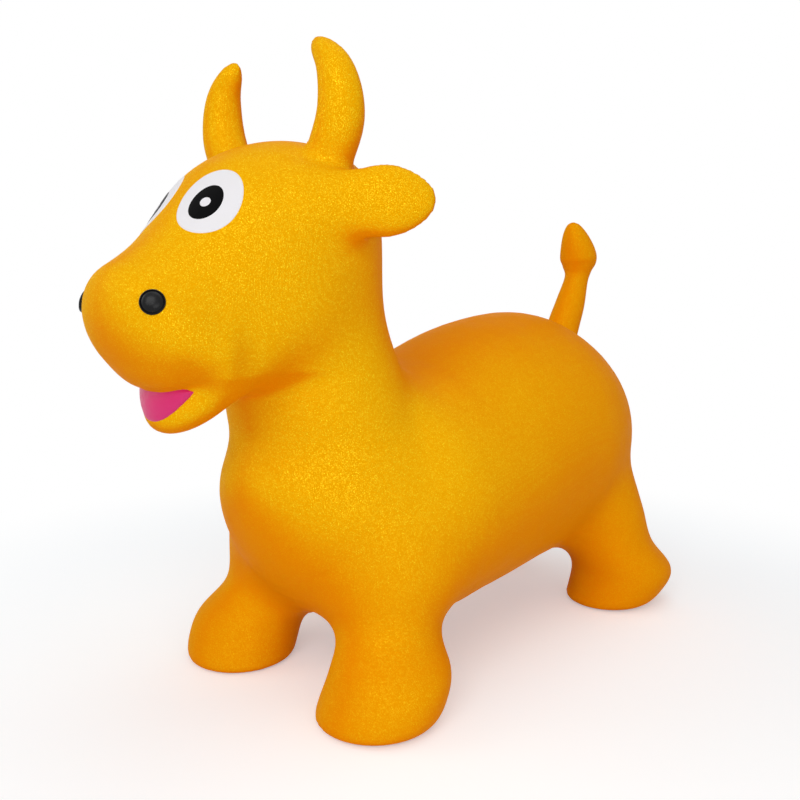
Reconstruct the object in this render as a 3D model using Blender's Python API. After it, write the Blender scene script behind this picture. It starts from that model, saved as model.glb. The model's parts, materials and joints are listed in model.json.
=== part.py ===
"""Bouncy ride-on cow: an inflatable PVC animal for a toddler to sit on and hop with.

Its skin is one air chamber. It is modelled as the sections that flex against each other, each an
open shell, with the air valve in the belly and the face painted on as thin films.
Units are metres, +Z is up, the cow faces -Y and its left side is +X. The origin is on the floor,
below the middle of the animal.
"""

import math
from dataclasses import dataclass

import bmesh
import bpy
from mathutils import Matrix, Vector

# Skin and fits

WALL = 0.0018
GAP = 0.0003
PAINT = 0.0005
OVERRUN = 0.010
AIR_DETAIL_SHARE = 0.75
SHARE_STEP = 0.001

# How far the finished animal's middle lies behind the line that its parts are measured from

MIDDLE_BACK = 0.0036

# Torso

TORSO_LENGTH = 0.500
CHEST_FORWARD = 0.190
TORSO_WIDTH = 0.256
BACK_HEIGHT = 0.310
BELLY_CLEARANCE = 0.044
TORSO_TOP_SHARES = (0.81, 0.82, 0.883, 0.972, 1.0, 0.975)
TORSO_BOTTOM_SHARES = (2.1, 0.88, 0.90, 1.05, 1.25, 2.0)
TORSO_WIDTH_SHARES = (0.88, 0.98, 1.0, 1.0, 0.99, 0.94)
TORSO_ROUND_SHARES = (0.32, 0.33)

# Neck and skull, one lobe from inside the chest to the crown

CROWN_HEIGHT = 0.440
CROWN_FORWARD = 0.158
SKULL_WIDTH = 0.160
SKULL_DEPTH = 0.149
NECK_HEIGHT_SHARES = (0.25, 0.46, 0.66, 0.84, 1.0)
NECK_FORWARD_SHARES = (0.25, 0.62, 0.82, 0.93, 1.0)
NECK_WIDTH_SHARES = (1.1, 1.05, 0.93, 1.0, 0.98)
NECK_DEPTH_SHARES = (1.1, 1.04, 0.88, 1.0, 0.95)
NECK_ROUND_SHARES = (0.25, 0.19)

# Muzzle, from inside the skull to the snout

SNOUT_FORWARD = 0.2955
SNOUT_HEIGHT = 0.2925
MUZZLE_WIDTH = 0.108
MUZZLE_DEPTH = 0.094
MUZZLE_ALONG_SHARES = (0.0, 0.4, 0.75, 1.0)
MUZZLE_BOW = 0.002
MUZZLE_BOW_SHARES = (0.0, 1.0, 0.5, 0.0)
MUZZLE_WIDTH_SHARES = (1.0, 1.15, 1.0, 0.98)
MUZZLE_DEPTH_SHARES = (1.1, 1.07, 0.95, 0.94)
MUZZLE_ROUND_SHARES = (0.3, 0.26)
MUZZLE_SQUARENESS = 2.3

# Brow, the slope of the face between the skull and the top of the muzzle

BROW_SHARE = 0.377
BROW_ABOVE_MUZZLE = 0.0255
BROW_LENGTH = 0.110
BROW_SLOPE = math.radians(49)
BROW_WIDTH = 0.117
BROW_DEPTH = 0.080
BROW_ROUND_SHARES = (0.45, 0.45)

# Lower jaw

JAW_ROOT_FORWARD = 0.152
JAW_ROOT_HEIGHT = 0.335
CHIN_BEHIND_SNOUT = 0.0335
CHIN_BELOW_SNOUT = 0.0605
JAW_WIDTH = 0.082
JAW_DEPTH = 0.052
JAW_ALONG_SHARES = (0.0, 0.5, 1.0)
JAW_BOW = 0.004
JAW_BOW_SHARES = (0.0, 1.0, 0.0)
JAW_WIDTH_SHARES = (1.45, 1.25, 1.0)
JAW_DEPTH_SHARES = (1.35, 1.08, 0.96)
JAW_ROUND_SHARES = (0.3, 0.35)

# Legs: the hip is inside the torso, the sole is flat on the floor

FRONT_FOOT_BEHIND_CHEST = 0.059
FRONT_FOOT_IN = 0.042
FRONT_FOOT_SPLAY = 0.010
FRONT_HIP_BEHIND_CHEST = 0.110
FRONT_HIP_IN = 0.070
REAR_FOOT_BEFORE_RUMP = 0.095
REAR_FOOT_IN = 0.037
REAR_FOOT_SPLAY = 0.011
REAR_HIP_BEFORE_RUMP = 0.102
REAR_HIP_IN = 0.050
HIP_HEIGHT = 0.150
FOOT_WIDTH = 0.102
LEG_ALONG_SHARES = (0.0, 0.28, 0.54, 0.75, 0.9, 1.0)
LEG_SPLAY_SHARES = (0.0, 0.0, 0.3, 1.0, 0.6, 0.0)
LEG_WIDTH_SHARES = (1.1, 0.94, 0.82, 0.95, 1.0, 0.97)
LEG_ROUND_SHARES = (0.3, 0.08)
SOLE_FLAT_SHARE = 0.8

# Horns

HORN_ROOT_OUT = 0.043
HORN_ROOT_FORWARD = 0.146
HORN_ROOT_HEIGHT = 0.400
HORN_TIP_OUT = 0.0445
HORN_TIP_FORWARD = 0.151
HORN_TIP_HEIGHT = 0.507
HORN_WIDTH = 0.037
HORN_ALONG_SHARES = (0.0, 0.25, 0.5, 0.78, 1.0)
HORN_BOW = 0.025
HORN_BOW_SHARES = (0.0, 0.6, 1.0, 0.87, 0.0)
HORN_WIDTH_SHARES = (1.02, 1.02, 0.97, 0.76, 0.42)
HORN_ROUND_SHARES = (0.1, 0.10)

# Ears

EAR_ROOT_OUT = 0.0565
EAR_ROOT_FORWARD = 0.179
EAR_ROOT_HEIGHT = 0.3885
EAR_TIP_OUT = 0.1275
EAR_TIP_FORWARD = 0.1125
EAR_TIP_HEIGHT = 0.3925
EAR_WIDTH = 0.052
EAR_THICKNESS = 0.025
EAR_WIDTH_SHARES = (0.65, 0.76, 1.0, 0.93)
EAR_THICKNESS_SHARES = (1.0, 1.0, 1.0, 0.8)
EAR_ROUND_SHARES = (0.1, 0.45)

# Tail

TAIL_ROOT_BEFORE_RUMP = 0.064
TAIL_ROOT_BELOW_BACK = 0.070
TAIL_LEAN = 0.031
TAIL_RISE = 0.165
TAIL_WIDTH = 0.040
TAIL_ALONG_SHARES = (0.0, 0.25, 0.45, 0.72, 1.0)
TAIL_BOW = 0.023
TAIL_BOW_SHARES = (0.0, 0.4, 0.8, 1.0, 0.0)
TAIL_WIDTH_SHARES = (1.0, 0.88, 0.67, 1.04, 0.85)
TAIL_ROUND_SHARES = (0.1, 0.24)

# Where the sections bend, as shares of the way along their lobes, and the balls they bend on

NECK_FLEX_SHARE = 0.47
LEG_FLEX_SHARE = 0.4
HORN_FLEX_SHARE = 0.34
EAR_FLEX_SHARE = 0.42
TAIL_FLEX_SHARE = 0.3
BALL_SHARE = 1.1
BALL_SEGMENT_SHARE = 1.6
NECK_COLLAR_SHARE = 1.2
NECK_COLLAR_FRONT_SHARE = 0.98
NECK_SWING_ROOM = 0.0044

# Painted eyes, ovals round one point on each side of the face

EYE_OUT = 0.0272
EYE_BEFORE_BROW = 0.0273
EYE_ABOVE_BROW = 0.0229
EYE_YAW = math.radians(24)
EYE_PITCH = math.radians(38)
EYE_WIDTH = 0.0456
EYE_ASPECT_SHARE = 1.25
PUPIL_WIDTH = 0.0235
PUPIL_DROP = 0.0024
PUPIL_IN = 0.0017
GLINT_WIDTH = 0.0075
EYE_DEPTH = 0.030

# Nostril beads

NOSTRIL_OUT = 0.044
NOSTRIL_BEHIND_SNOUT = 0.0085
NOSTRIL_ABOVE_SNOUT = 0.0285
NOSTRIL_YAW = math.radians(50)
NOSTRIL_PITCH = math.radians(15)
NOSTRIL_WIDTH = 0.016
NOSTRIL_RISE = 0.0045

# Painted mouth, on the front of the jaw under the upper lip

MOUTH_WIDTH = 0.066
MOUTH_ABOVE_CHIN = 0.029
MOUTH_DROP = 0.021
MOUTH_DEPTH = 0.050
MOUTH_SQUARENESS = 3.0

# Air valve in the belly: a flanged seat and its plug

VALVE_SHARE = 0.3
VALVE_BORE = 0.009
VALVE_WALL = 0.0025
VALVE_FLANGE_WIDTH = 0.026
VALVE_FLANGE_THICKNESS = 0.002
VALVE_DEPTH = 0.014
VALVE_CLEARANCE = 0.0006
PLUG_CLEARANCE = 0.0001
PLUG_HEAD_WIDTH = 0.020
PLUG_HEAD_THICKNESS = 0.0025

X_AXIS = Vector((1, 0, 0))
Y_AXIS = Vector((0, 1, 0))
Z_AXIS = Vector((0, 0, 1))

GOLD_PVC = (0.86, 0.42, 0.01, 1), 0.42
WHITE_PAINT = (0.87, 0.86, 0.85, 1), 0.35
BLACK_PAINT = (0.012, 0.011, 0.012, 1), 0.35
PINK_PAINT = (0.62, 0.03, 0.15, 1), 0.4
CLEAR_PVC = (0.75, 0.45, 0.06, 1), 0.35

SIDES = (("left", 1), ("right", -1))
BALL_RINGS = 10
DOME_RINGS = 4
OVAL_SEGMENTS = 24
VALVE_SEGMENTS = 24
SHARP_ANGLE = math.radians(35)
ORIGINS = {}


@dataclass
class Lobe:
    """A tapered tube of elliptic rings along a smooth spine, rounded off at both ends."""

    spine: list
    widths: list
    depths: list
    side: Vector
    rounds: tuple
    rings: int
    segments: int
    level: bool = False
    squareness: float = 2.0
    flat_share: float = 0.0


def smooth_value(controls, share):
    """The value at a share of the way through evenly spaced controls, on a Catmull-Rom curve."""
    last = len(controls) - 1
    place = min(max(share, 0.0), 1.0) * last
    i = min(int(place), last - 1)
    t = place - i
    before, a = controls[max(i - 1, 0)], controls[i]
    b, after = controls[i + 1], controls[min(i + 2, last)]
    out_slope = (b - before) * (0.5 if i else 1.0)
    in_slope = (after - a) * (0.5 if i + 2 <= last else 1.0)
    return (
        a * (2 * t**3 - 3 * t**2 + 1)
        + out_slope * (t**3 - 2 * t**2 + t)
        + b * (3 * t**2 - 2 * t**3)
        + in_slope * (t**3 - t**2)
    )


def closing(lobe, share):
    """How much of the ring is left at a share of the length, and how far it is into a rounded end."""
    start, end = lobe.rounds
    if share < start:
        along = share / start - 1
    elif share > 1 - end:
        along = 1 - (1 - share) / end
    else:
        return 1.0, 0.0
    arc = max(0.0, 1 - abs(along) ** lobe.squareness) ** (1 / lobe.squareness)
    flat = lobe.flat_share if along > 0 else 0.0
    return flat + (1 - flat) * arc, along


def heading(lobe, share):
    if lobe.level:
        return -Z_AXIS
    ahead = smooth_value(lobe.spine, share + SHARE_STEP) - smooth_value(lobe.spine, share - SHARE_STEP)
    return ahead.normalized()


def ring_points(lobe, share, grow, segments):
    factor, along = closing(lobe, share)
    ahead = heading(lobe, share)
    side = (lobe.side - ahead * lobe.side.dot(ahead)).normalized()
    up = ahead.cross(side)
    centre = smooth_value(lobe.spine, share) + ahead * (grow * along)
    swell = grow * math.sqrt(1 - along**2)
    width = smooth_value(lobe.widths, share) / 2 * factor + swell
    depth = smooth_value(lobe.depths, share) / 2 * factor + swell
    turns = [math.tau * j / segments for j in range(segments)]
    return [centre + side * (width * math.cos(t)) + up * (depth * math.sin(t)) for t in turns]


def mesh_object(name, mesh):
    """The object of a finished mesh, in flat triangles that a Boolean keeps where they are."""
    bmesh.ops.recalc_face_normals(mesh, faces=mesh.faces)
    bmesh.ops.triangulate(mesh, faces=mesh.faces)
    data = bpy.data.meshes.new(name)
    mesh.to_mesh(data)
    mesh.free()
    data.shade_smooth()
    obj = bpy.data.objects.new(name, data)
    bpy.context.scene.collection.objects.link(obj)
    return obj


def skinned(name, mesh, loops, start, end):
    """The object whose faces join neighbouring loops, with a fan to each end point that is given."""
    count = len(loops[0])
    for a, b in zip(loops, loops[1:]):
        for j in range(count):
            n = (j + 1) % count
            mesh.faces.new((a[j], a[n], b[n], b[j]))
    for point, ring in ((start, loops[0]), (end, loops[-1])):
        if point is not None:
            pole = mesh.verts.new(point)
            for j in range(count):
                mesh.faces.new((pole, ring[j], ring[(j + 1) % count]))
    return mesh_object(name, mesh)


def lobe_object(name, lobe, grow=0.0, detail_share=1.0):
    """The lobe's closed surface, grown outwards all over. Its rings are closest near the ends."""
    rings = int(lobe.rings * detail_share)
    segments = int(lobe.segments * detail_share)
    last = rings if lobe.flat_share == 0 else rings + 1
    mesh = bmesh.new()
    loops = []
    for k in range(1, last):
        share = (1 - math.cos(math.pi * k / rings)) / 2
        loops.append([mesh.verts.new(p) for p in ring_points(lobe, share, grow, segments)])
    start = lobe.spine[0] - heading(lobe, 0) * grow
    end = lobe.spine[-1] + heading(lobe, 1) * grow
    return skinned(name, mesh, loops, start, end)


def bowed(start, end, alongs, bow, bows):
    """Points at shares of the way from start to end, pushed aside by shares of the bow vector."""
    return [start + (end - start) * a + bow * b for a, b in zip(alongs, bows)]


def scaled(size, shares):
    return [size * share for share in shares]


def torso_lobe():
    tops = scaled(BACK_HEIGHT, TORSO_TOP_SHARES)
    bottoms = scaled(BELLY_CLEARANCE, TORSO_BOTTOM_SHARES)
    last = len(tops) - 1
    spine = [
        Vector((0, TORSO_LENGTH * i / last - CHEST_FORWARD, (tops[i] + bottoms[i]) / 2))
        for i in range(last + 1)
    ]
    depths = [top - bottom for top, bottom in zip(tops, bottoms)]
    widths = scaled(TORSO_WIDTH, TORSO_WIDTH_SHARES)
    return Lobe(spine, widths, depths, X_AXIS, TORSO_ROUND_SHARES, 20, 24)


def neck_lobe():
    spine = [
        Vector((0, -CROWN_FORWARD * f, CROWN_HEIGHT * h))
        for f, h in zip(NECK_FORWARD_SHARES, NECK_HEIGHT_SHARES)
    ]
    widths = scaled(SKULL_WIDTH, NECK_WIDTH_SHARES)
    depths = scaled(SKULL_DEPTH, NECK_DEPTH_SHARES)
    return Lobe(spine, widths, depths, X_AXIS, NECK_ROUND_SHARES, 16, 20)


def snout_point():
    return Vector((0, -SNOUT_FORWARD, SNOUT_HEIGHT))


def muzzle_lobe():
    skull = neck_lobe().spine[3]
    spine = bowed(skull, snout_point(), MUZZLE_ALONG_SHARES, Z_AXIS * MUZZLE_BOW, MUZZLE_BOW_SHARES)
    widths = scaled(MUZZLE_WIDTH, MUZZLE_WIDTH_SHARES)
    depths = scaled(MUZZLE_DEPTH, MUZZLE_DEPTH_SHARES)
    return Lobe(spine, widths, depths, X_AXIS, MUZZLE_ROUND_SHARES, 13, 18, squareness=MUZZLE_SQUARENESS)


def brow_centre():
    return neck_lobe().spine[3].lerp(snout_point(), BROW_SHARE) + Z_AXIS * BROW_ABOVE_MUZZLE


def brow_lobe():
    centre = brow_centre()
    half = Vector((0, -math.cos(BROW_SLOPE), -math.sin(BROW_SLOPE))) * (BROW_LENGTH / 2)
    spine = [centre - half, centre + half]
    return Lobe(spine, [BROW_WIDTH] * 2, [BROW_DEPTH] * 2, X_AXIS, BROW_ROUND_SHARES, 9, 18)


def chin_point():
    return snout_point() + Vector((0, CHIN_BEHIND_SNOUT, -CHIN_BELOW_SNOUT))


def jaw_lobe():
    root = Vector((0, -JAW_ROOT_FORWARD, JAW_ROOT_HEIGHT))
    spine = bowed(root, chin_point(), JAW_ALONG_SHARES, Z_AXIS * JAW_BOW, JAW_BOW_SHARES)
    widths = scaled(JAW_WIDTH, JAW_WIDTH_SHARES)
    depths = scaled(JAW_DEPTH, JAW_DEPTH_SHARES)
    return Lobe(spine, widths, depths, X_AXIS, JAW_ROUND_SHARES, 10, 14)


def face_lobes():
    return (brow_lobe(), muzzle_lobe(), jaw_lobe())


def leg_lobe(hip, foot, splay):
    spine = bowed(hip, foot, LEG_ALONG_SHARES, splay, LEG_SPLAY_SHARES)
    widths = scaled(FOOT_WIDTH, LEG_WIDTH_SHARES)
    return Lobe(
        spine, widths, widths, X_AXIS, LEG_ROUND_SHARES, 12, 16, level=True, flat_share=SOLE_FLAT_SHARE
    )


def front_leg_lobe(side):
    flank = TORSO_WIDTH / 2
    hip = Vector((side * (flank - FRONT_HIP_IN), FRONT_HIP_BEHIND_CHEST - CHEST_FORWARD, HIP_HEIGHT))
    foot = Vector((side * (flank - FRONT_FOOT_IN), FRONT_FOOT_BEHIND_CHEST - CHEST_FORWARD, 0))
    return leg_lobe(hip, foot, Vector((side * FRONT_FOOT_SPLAY, 0, 0)))


def rump_y():
    return TORSO_LENGTH - CHEST_FORWARD


def rear_leg_lobe(side):
    flank = TORSO_WIDTH / 2
    hip = Vector((side * (flank - REAR_HIP_IN), rump_y() - REAR_HIP_BEFORE_RUMP, HIP_HEIGHT))
    foot = Vector((side * (flank - REAR_FOOT_IN), rump_y() - REAR_FOOT_BEFORE_RUMP, 0))
    return leg_lobe(hip, foot, Vector((side * REAR_FOOT_SPLAY, REAR_FOOT_SPLAY, 0)))


def horn_lobe(side):
    root = Vector((side * HORN_ROOT_OUT, -HORN_ROOT_FORWARD, HORN_ROOT_HEIGHT))
    tip = Vector((side * HORN_TIP_OUT, -HORN_TIP_FORWARD, HORN_TIP_HEIGHT))
    spine = bowed(root, tip, HORN_ALONG_SHARES, X_AXIS * (side * HORN_BOW), HORN_BOW_SHARES)
    widths = scaled(HORN_WIDTH, HORN_WIDTH_SHARES)
    return Lobe(spine, widths, widths, Y_AXIS, HORN_ROUND_SHARES, 11, 10)


def ear_lobe(side):
    root = Vector((side * EAR_ROOT_OUT, -EAR_ROOT_FORWARD, EAR_ROOT_HEIGHT))
    tip = Vector((side * EAR_TIP_OUT, -EAR_TIP_FORWARD, EAR_TIP_HEIGHT))
    widths = scaled(EAR_WIDTH, EAR_WIDTH_SHARES)
    depths = scaled(EAR_THICKNESS, EAR_THICKNESS_SHARES)
    return Lobe([root, tip], widths, depths, Z_AXIS, EAR_ROUND_SHARES, 9, 12)


def tail_lobe():
    root = Vector((0, rump_y() - TAIL_ROOT_BEFORE_RUMP, BACK_HEIGHT - TAIL_ROOT_BELOW_BACK))
    tip = root + Vector((0, TAIL_LEAN, TAIL_RISE))
    spine = bowed(root, tip, TAIL_ALONG_SHARES, Y_AXIS * TAIL_BOW, TAIL_BOW_SHARES)
    widths = scaled(TAIL_WIDTH, TAIL_WIDTH_SHARES)
    return Lobe(spine, widths, widths, X_AXIS, TAIL_ROUND_SHARES, 13, 11)


def oval_object(name, centre, ahead, widths, length, rise=0.0):
    """An oval cylinder through centre along ahead, domed by rise at its front."""
    side = ahead.cross(Z_AXIS).normalized()
    up = side.cross(ahead)
    front = centre + ahead * (length / 2)
    back = centre - ahead * (length / 2)
    spans = [(back, 1.0), (front, 1.0)]
    if rise:
        turns = [math.pi / 2 * k / DOME_RINGS for k in range(1, DOME_RINGS)]
        spans += [(front + ahead * (rise * math.sin(t)), math.cos(t)) for t in turns]
    mesh = bmesh.new()
    loops = []
    for point, factor in spans:
        offsets = [
            side * (widths[0] / 2 * factor * math.cos(math.tau * j / OVAL_SEGMENTS))
            + up * (widths[1] / 2 * factor * math.sin(math.tau * j / OVAL_SEGMENTS))
            for j in range(OVAL_SEGMENTS)
        ]
        loops.append([mesh.verts.new(point + offset) for offset in offsets])
    return skinned(name, mesh, loops, back, front + ahead * rise)


def ring_loop(mesh, centre, ahead, radius, segments):
    """New vertices of the mesh in a circle round the centre, square to ahead."""
    side = ahead.orthogonal().normalized()
    up = ahead.cross(side)
    turns = [math.tau * j / segments for j in range(segments)]
    offsets = [side * (radius * math.cos(t)) + up * (radius * math.sin(t)) for t in turns]
    return [mesh.verts.new(centre + offset) for offset in offsets]


def turned_object(name, profile, centre, closed=False):
    """A profile of radii and heights, turned about the vertical through the centre."""
    mesh = bmesh.new()
    places = [(radius, centre + Z_AXIS * height) for radius, height in profile]
    loops = [ring_loop(mesh, place, Z_AXIS, radius, VALVE_SEGMENTS) for radius, place in places]
    if closed:
        return skinned(name, mesh, loops + loops[:1], None, None)
    return skinned(name, mesh, loops, places[0][1], places[-1][1])


def combine(target, tool, operation):
    """Apply a Boolean of the tool to the target, and delete the tool."""
    modifier = target.modifiers.new(operation, "BOOLEAN")
    modifier.operation = operation
    modifier.solver = "EXACT"
    modifier.object = tool
    depsgraph = bpy.context.evaluated_depsgraph_get()
    mesh = bpy.data.meshes.new_from_object(target.evaluated_get(depsgraph))
    target.modifiers.clear()
    target.data = mesh
    bpy.data.objects.remove(tool)


@dataclass
class Flex:
    """Where a lobe bends: its carrier keeps what lies before the pivot or inside a ball round it."""

    pivot: Vector
    ahead: Vector
    radius: float
    collar: float
    collar_centre: Vector
    segments: int
    swing_room: float = 0.0


def flex_at(trunk, share):
    """The flex at a share of the trunk, with a collar that is wider than the trunk anywhere."""
    half = max(smooth_value(trunk.widths, share), smooth_value(trunk.depths, share)) / 2
    pivot = smooth_value(trunk.spine, share)
    segments = int(trunk.segments * BALL_SEGMENT_SHARE)
    return Flex(pivot, heading(trunk, share), half * BALL_SHARE, TORSO_LENGTH, pivot, segments)


def neck_flex():
    """The neck's flex. Its collar is set back, so that the jaw in front of it goes with the head."""
    flex = flex_at(neck_lobe(), NECK_FLEX_SHARE)
    flex.collar = flex.radius * NECK_COLLAR_SHARE
    back = flex.radius * (NECK_COLLAR_SHARE - NECK_COLLAR_FRONT_SHARE)
    flex.collar_centre = flex.pivot + flex.ahead.cross(X_AXIS) * back
    flex.swing_room = NECK_SWING_ROOM
    return flex


def carrier_room(flex, clearance=0.0):
    """The collar up to the pivot's plane with half of the ball on it.

    The clearance is all round, with the room for the swing in front of the collar.
    """
    radius = flex.radius
    if clearance:
        facet_share = math.cos(math.pi / flex.segments) * math.cos(math.pi / 4 / BALL_RINGS)
        radius = (radius + clearance) / facet_share
    collar = flex.collar
    collar_centre = flex.collar_centre
    if clearance:
        collar += clearance + flex.swing_room / 2
        collar_centre = collar_centre - flex.ahead.cross(X_AXIS) * (flex.swing_room / 2)
    start = collar_centre - flex.ahead * TORSO_LENGTH
    rings = [(start, collar), (collar_centre, collar)]
    for k in range(BALL_RINGS):
        turn = math.pi / 2 * k / BALL_RINGS
        rings.append((flex.pivot + flex.ahead * (radius * math.sin(turn)), radius * math.cos(turn)))
    mesh = bmesh.new()
    loops = [ring_loop(mesh, centre, flex.ahead, wide, flex.segments) for centre, wide in rings]
    return skinned("room", mesh, loops, start, flex.pivot + flex.ahead * radius)


def block_object(flex):
    """A block that ends at the plane through the flex's pivot."""
    turn = flex.ahead.to_track_quat("Z", "Y").to_matrix().to_4x4()
    mesh = bmesh.new()
    bmesh.ops.create_cube(mesh, size=TORSO_LENGTH)
    bmesh.ops.translate(mesh, verts=mesh.verts, vec=-Z_AXIS * (TORSO_LENGTH / 2))
    bmesh.ops.transform(mesh, matrix=Matrix.Translation(flex.pivot) @ turn, verts=mesh.verts)
    return mesh_object("block", mesh)


def add_stub(carrier, flex, trunk, branches=()):
    """Give the carrier the part of a section that lies before its flex or inside its ball."""
    stub = lobe_object("stub", trunk)
    for lobe in branches:
        combine(stub, lobe_object("branch", lobe), "UNION")
    combine(stub, carrier_room(flex), "INTERSECT")
    combine(carrier, stub, "UNION")


def section_object(name, flex, trunk, branches=()):
    """The part of a section past its flex, clear of the carrier's ball."""
    section = lobe_object(name, trunk)
    if branches:
        combine(section, block_object(flex), "DIFFERENCE")
    for lobe in branches:
        combine(section, lobe_object("branch", lobe), "UNION")
    combine(section, carrier_room(flex, GAP), "DIFFERENCE")
    return section


def hollow(section, lobes):
    for lobe in lobes:
        combine(section, lobe_object("air", lobe, -WALL, AIR_DETAIL_SHARE), "DIFFERENCE")


def finish(obj, look, origin, parent=None):
    """Give an object its material, its origin, and the object that it sits on."""
    colour, roughness = look
    material = bpy.data.materials.new(obj.name + "_finish")
    material.use_nodes = True
    shader = material.node_tree.nodes["Principled BSDF"]
    shader.inputs["Base Color"].default_value = colour
    shader.inputs["Roughness"].default_value = roughness
    shader.inputs["Metallic"].default_value = 0.0
    obj.data.materials.clear()
    obj.data.materials.append(material)
    obj.data.set_sharp_from_angle(angle=SHARP_ANGLE)
    obj.data.transform(Matrix.Translation(-origin))
    obj.location = origin
    if parent:
        obj.parent = parent
        obj.location = origin - ORIGINS[parent.name]
    ORIGINS[obj.name] = origin.copy()


def torso_and_feet():
    torso = lobe_object("torso_skin", torso_lobe())
    neck = neck_lobe()
    tail = tail_lobe()
    tail_flex = flex_at(tail, TAIL_FLEX_SHARE)
    legs = {}
    for word, side in SIDES:
        legs["front_%s_foot" % word] = front_leg_lobe(side)
        legs["rear_%s_foot" % word] = rear_leg_lobe(side)
    add_stub(torso, neck_flex(), neck, face_lobes())
    add_stub(torso, tail_flex, tail)
    for leg in legs.values():
        add_stub(torso, flex_at(leg, LEG_FLEX_SHARE), leg)
    hollow(torso, (torso_lobe(), neck, *face_lobes(), tail, *legs.values()))
    cut_valve_hole(torso)
    finish(torso, GOLD_PVC, Vector((0, 0, 0)))
    for name, leg in legs.items():
        flex = flex_at(leg, LEG_FLEX_SHARE)
        foot = section_object(name, flex, leg)
        hollow(foot, (leg,))
        finish(foot, GOLD_PVC, flex.pivot, torso)
    end = section_object("tail_skin", tail_flex, tail)
    hollow(end, (tail,))
    finish(end, GOLD_PVC, tail_flex.pivot, torso)
    return torso


def head_and_its_flexes(torso):
    neck = neck_lobe()
    flex = neck_flex()
    head = section_object("head_skin", flex, neck, face_lobes())
    sections = {}
    for word, side in SIDES:
        sections["%s_horn" % word] = (horn_lobe(side), HORN_FLEX_SHARE)
        sections["%s_ear" % word] = (ear_lobe(side), EAR_FLEX_SHARE)
    for lobe, share in sections.values():
        add_stub(head, flex_at(lobe, share), lobe)
    hollow(head, (neck, *face_lobes(), *(lobe for lobe, share in sections.values())))
    finish(head, GOLD_PVC, flex.pivot, torso)
    for name, (lobe, share) in sections.items():
        own_flex = flex_at(lobe, share)
        section = section_object(name, own_flex, lobe)
        hollow(section, (lobe,))
        finish(section, GOLD_PVC, own_flex.pivot, head)
    return head


def facing(side, yaw, pitch):
    """The outward direction of a spot on the face, turned to the side by yaw and up by pitch."""
    level = math.cos(pitch)
    return Vector((side * math.sin(yaw) * level, -math.cos(yaw) * level, math.sin(pitch)))


def painted(name, spot, look, head, lobes, holes=()):
    """Keep of a spot's prism the film of paint where it meets the lobes, and cut its holes."""
    film = lobe_object("film", lobes[0], GAP + PAINT)
    for lobe in lobes[1:]:
        combine(film, lobe_object("more", lobe, GAP + PAINT), "UNION")
    combine(spot, film, "INTERSECT")
    for lobe in lobes:
        combine(spot, lobe_object("skin", lobe, GAP), "DIFFERENCE")
    for hole in holes:
        combine(spot, hole, "DIFFERENCE")
    spot.name = name
    finish(spot, look, ORIGINS[head.name], head)


def oval_sizes(width, clearance=0.0):
    return width + clearance, width * EYE_ASPECT_SHARE + clearance


def paint_eyes(head):
    for word, side in SIDES:
        centre = brow_centre() + Vector((side * EYE_OUT, -EYE_BEFORE_BROW, EYE_ABOVE_BROW))
        ahead = facing(side, EYE_YAW, EYE_PITCH)
        across = ahead.cross(Z_AXIS).normalized()
        pupil = centre - across.cross(ahead) * PUPIL_DROP + across * (side * PUPIL_IN)
        ovals = (
            ("%s_eye_white" % word, centre, EYE_WIDTH, PUPIL_WIDTH, WHITE_PAINT),
            ("%s_pupil" % word, pupil, PUPIL_WIDTH, GLINT_WIDTH, BLACK_PAINT),
            ("%s_eye_glint" % word, pupil, GLINT_WIDTH, 0.0, WHITE_PAINT),
        )
        for name, middle, width, hole_width, look in ovals:
            spot = oval_object(name, middle, ahead, oval_sizes(width), EYE_DEPTH)
            holes = []
            if hole_width:
                sizes = oval_sizes(hole_width, GAP * 2)
                holes.append(oval_object("hole", pupil, ahead, sizes, EYE_DEPTH + OVERRUN))
            painted(name, spot, look, head, (neck_lobe(), *face_lobes()), holes)


def set_nostrils(head):
    for word, side in SIDES:
        offset = Vector((side * NOSTRIL_OUT, NOSTRIL_BEHIND_SNOUT, NOSTRIL_ABOVE_SNOUT))
        centre = snout_point() + offset
        ahead = facing(side, NOSTRIL_YAW, NOSTRIL_PITCH)
        bead = oval_object(
            "%s_nostril" % word, centre, ahead, (NOSTRIL_WIDTH, NOSTRIL_WIDTH), NOSTRIL_WIDTH / 2, NOSTRIL_RISE
        )
        for lobe in (muzzle_lobe(), brow_lobe()):
            combine(bead, lobe_object("skin", lobe, GAP), "DIFFERENCE")
        finish(bead, BLACK_PAINT, ORIGINS[head.name], head)


def paint_mouth(head):
    """The mouth's outline seen from the front: a lip line above the chin, over a sagging curve."""
    steps = OVAL_SEGMENTS // 2
    shares = [math.sin(math.pi * (k / steps - 0.5)) for k in range(steps + 1)]
    top = chin_point().z + MOUTH_ABOVE_CHIN
    outline = [(MOUTH_WIDTH / 2 * x, top - MOUTH_DROP * (1 - abs(x) ** MOUTH_SQUARENESS)) for x in shares]
    outline[0] = (outline[0][0], top + OVERRUN)
    outline[-1] = (outline[-1][0], top + OVERRUN)
    front = chin_point().y - OVERRUN
    mesh = bmesh.new()
    loops = [[mesh.verts.new((x, y, z)) for x, z in outline] for y in (front, front + MOUTH_DEPTH)]
    mesh.faces.new(loops[0])
    mesh.faces.new(loops[1])
    for j in range(len(outline)):
        n = (j + 1) % len(outline)
        mesh.faces.new((loops[0][j], loops[0][n], loops[1][n], loops[1][j]))
    spot = mesh_object("mouth", mesh)
    lip = lobe_object("lip", muzzle_lobe(), GAP + PAINT)
    painted("mouth", spot, PINK_PAINT, head, (jaw_lobe(),), (lip,))


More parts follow.
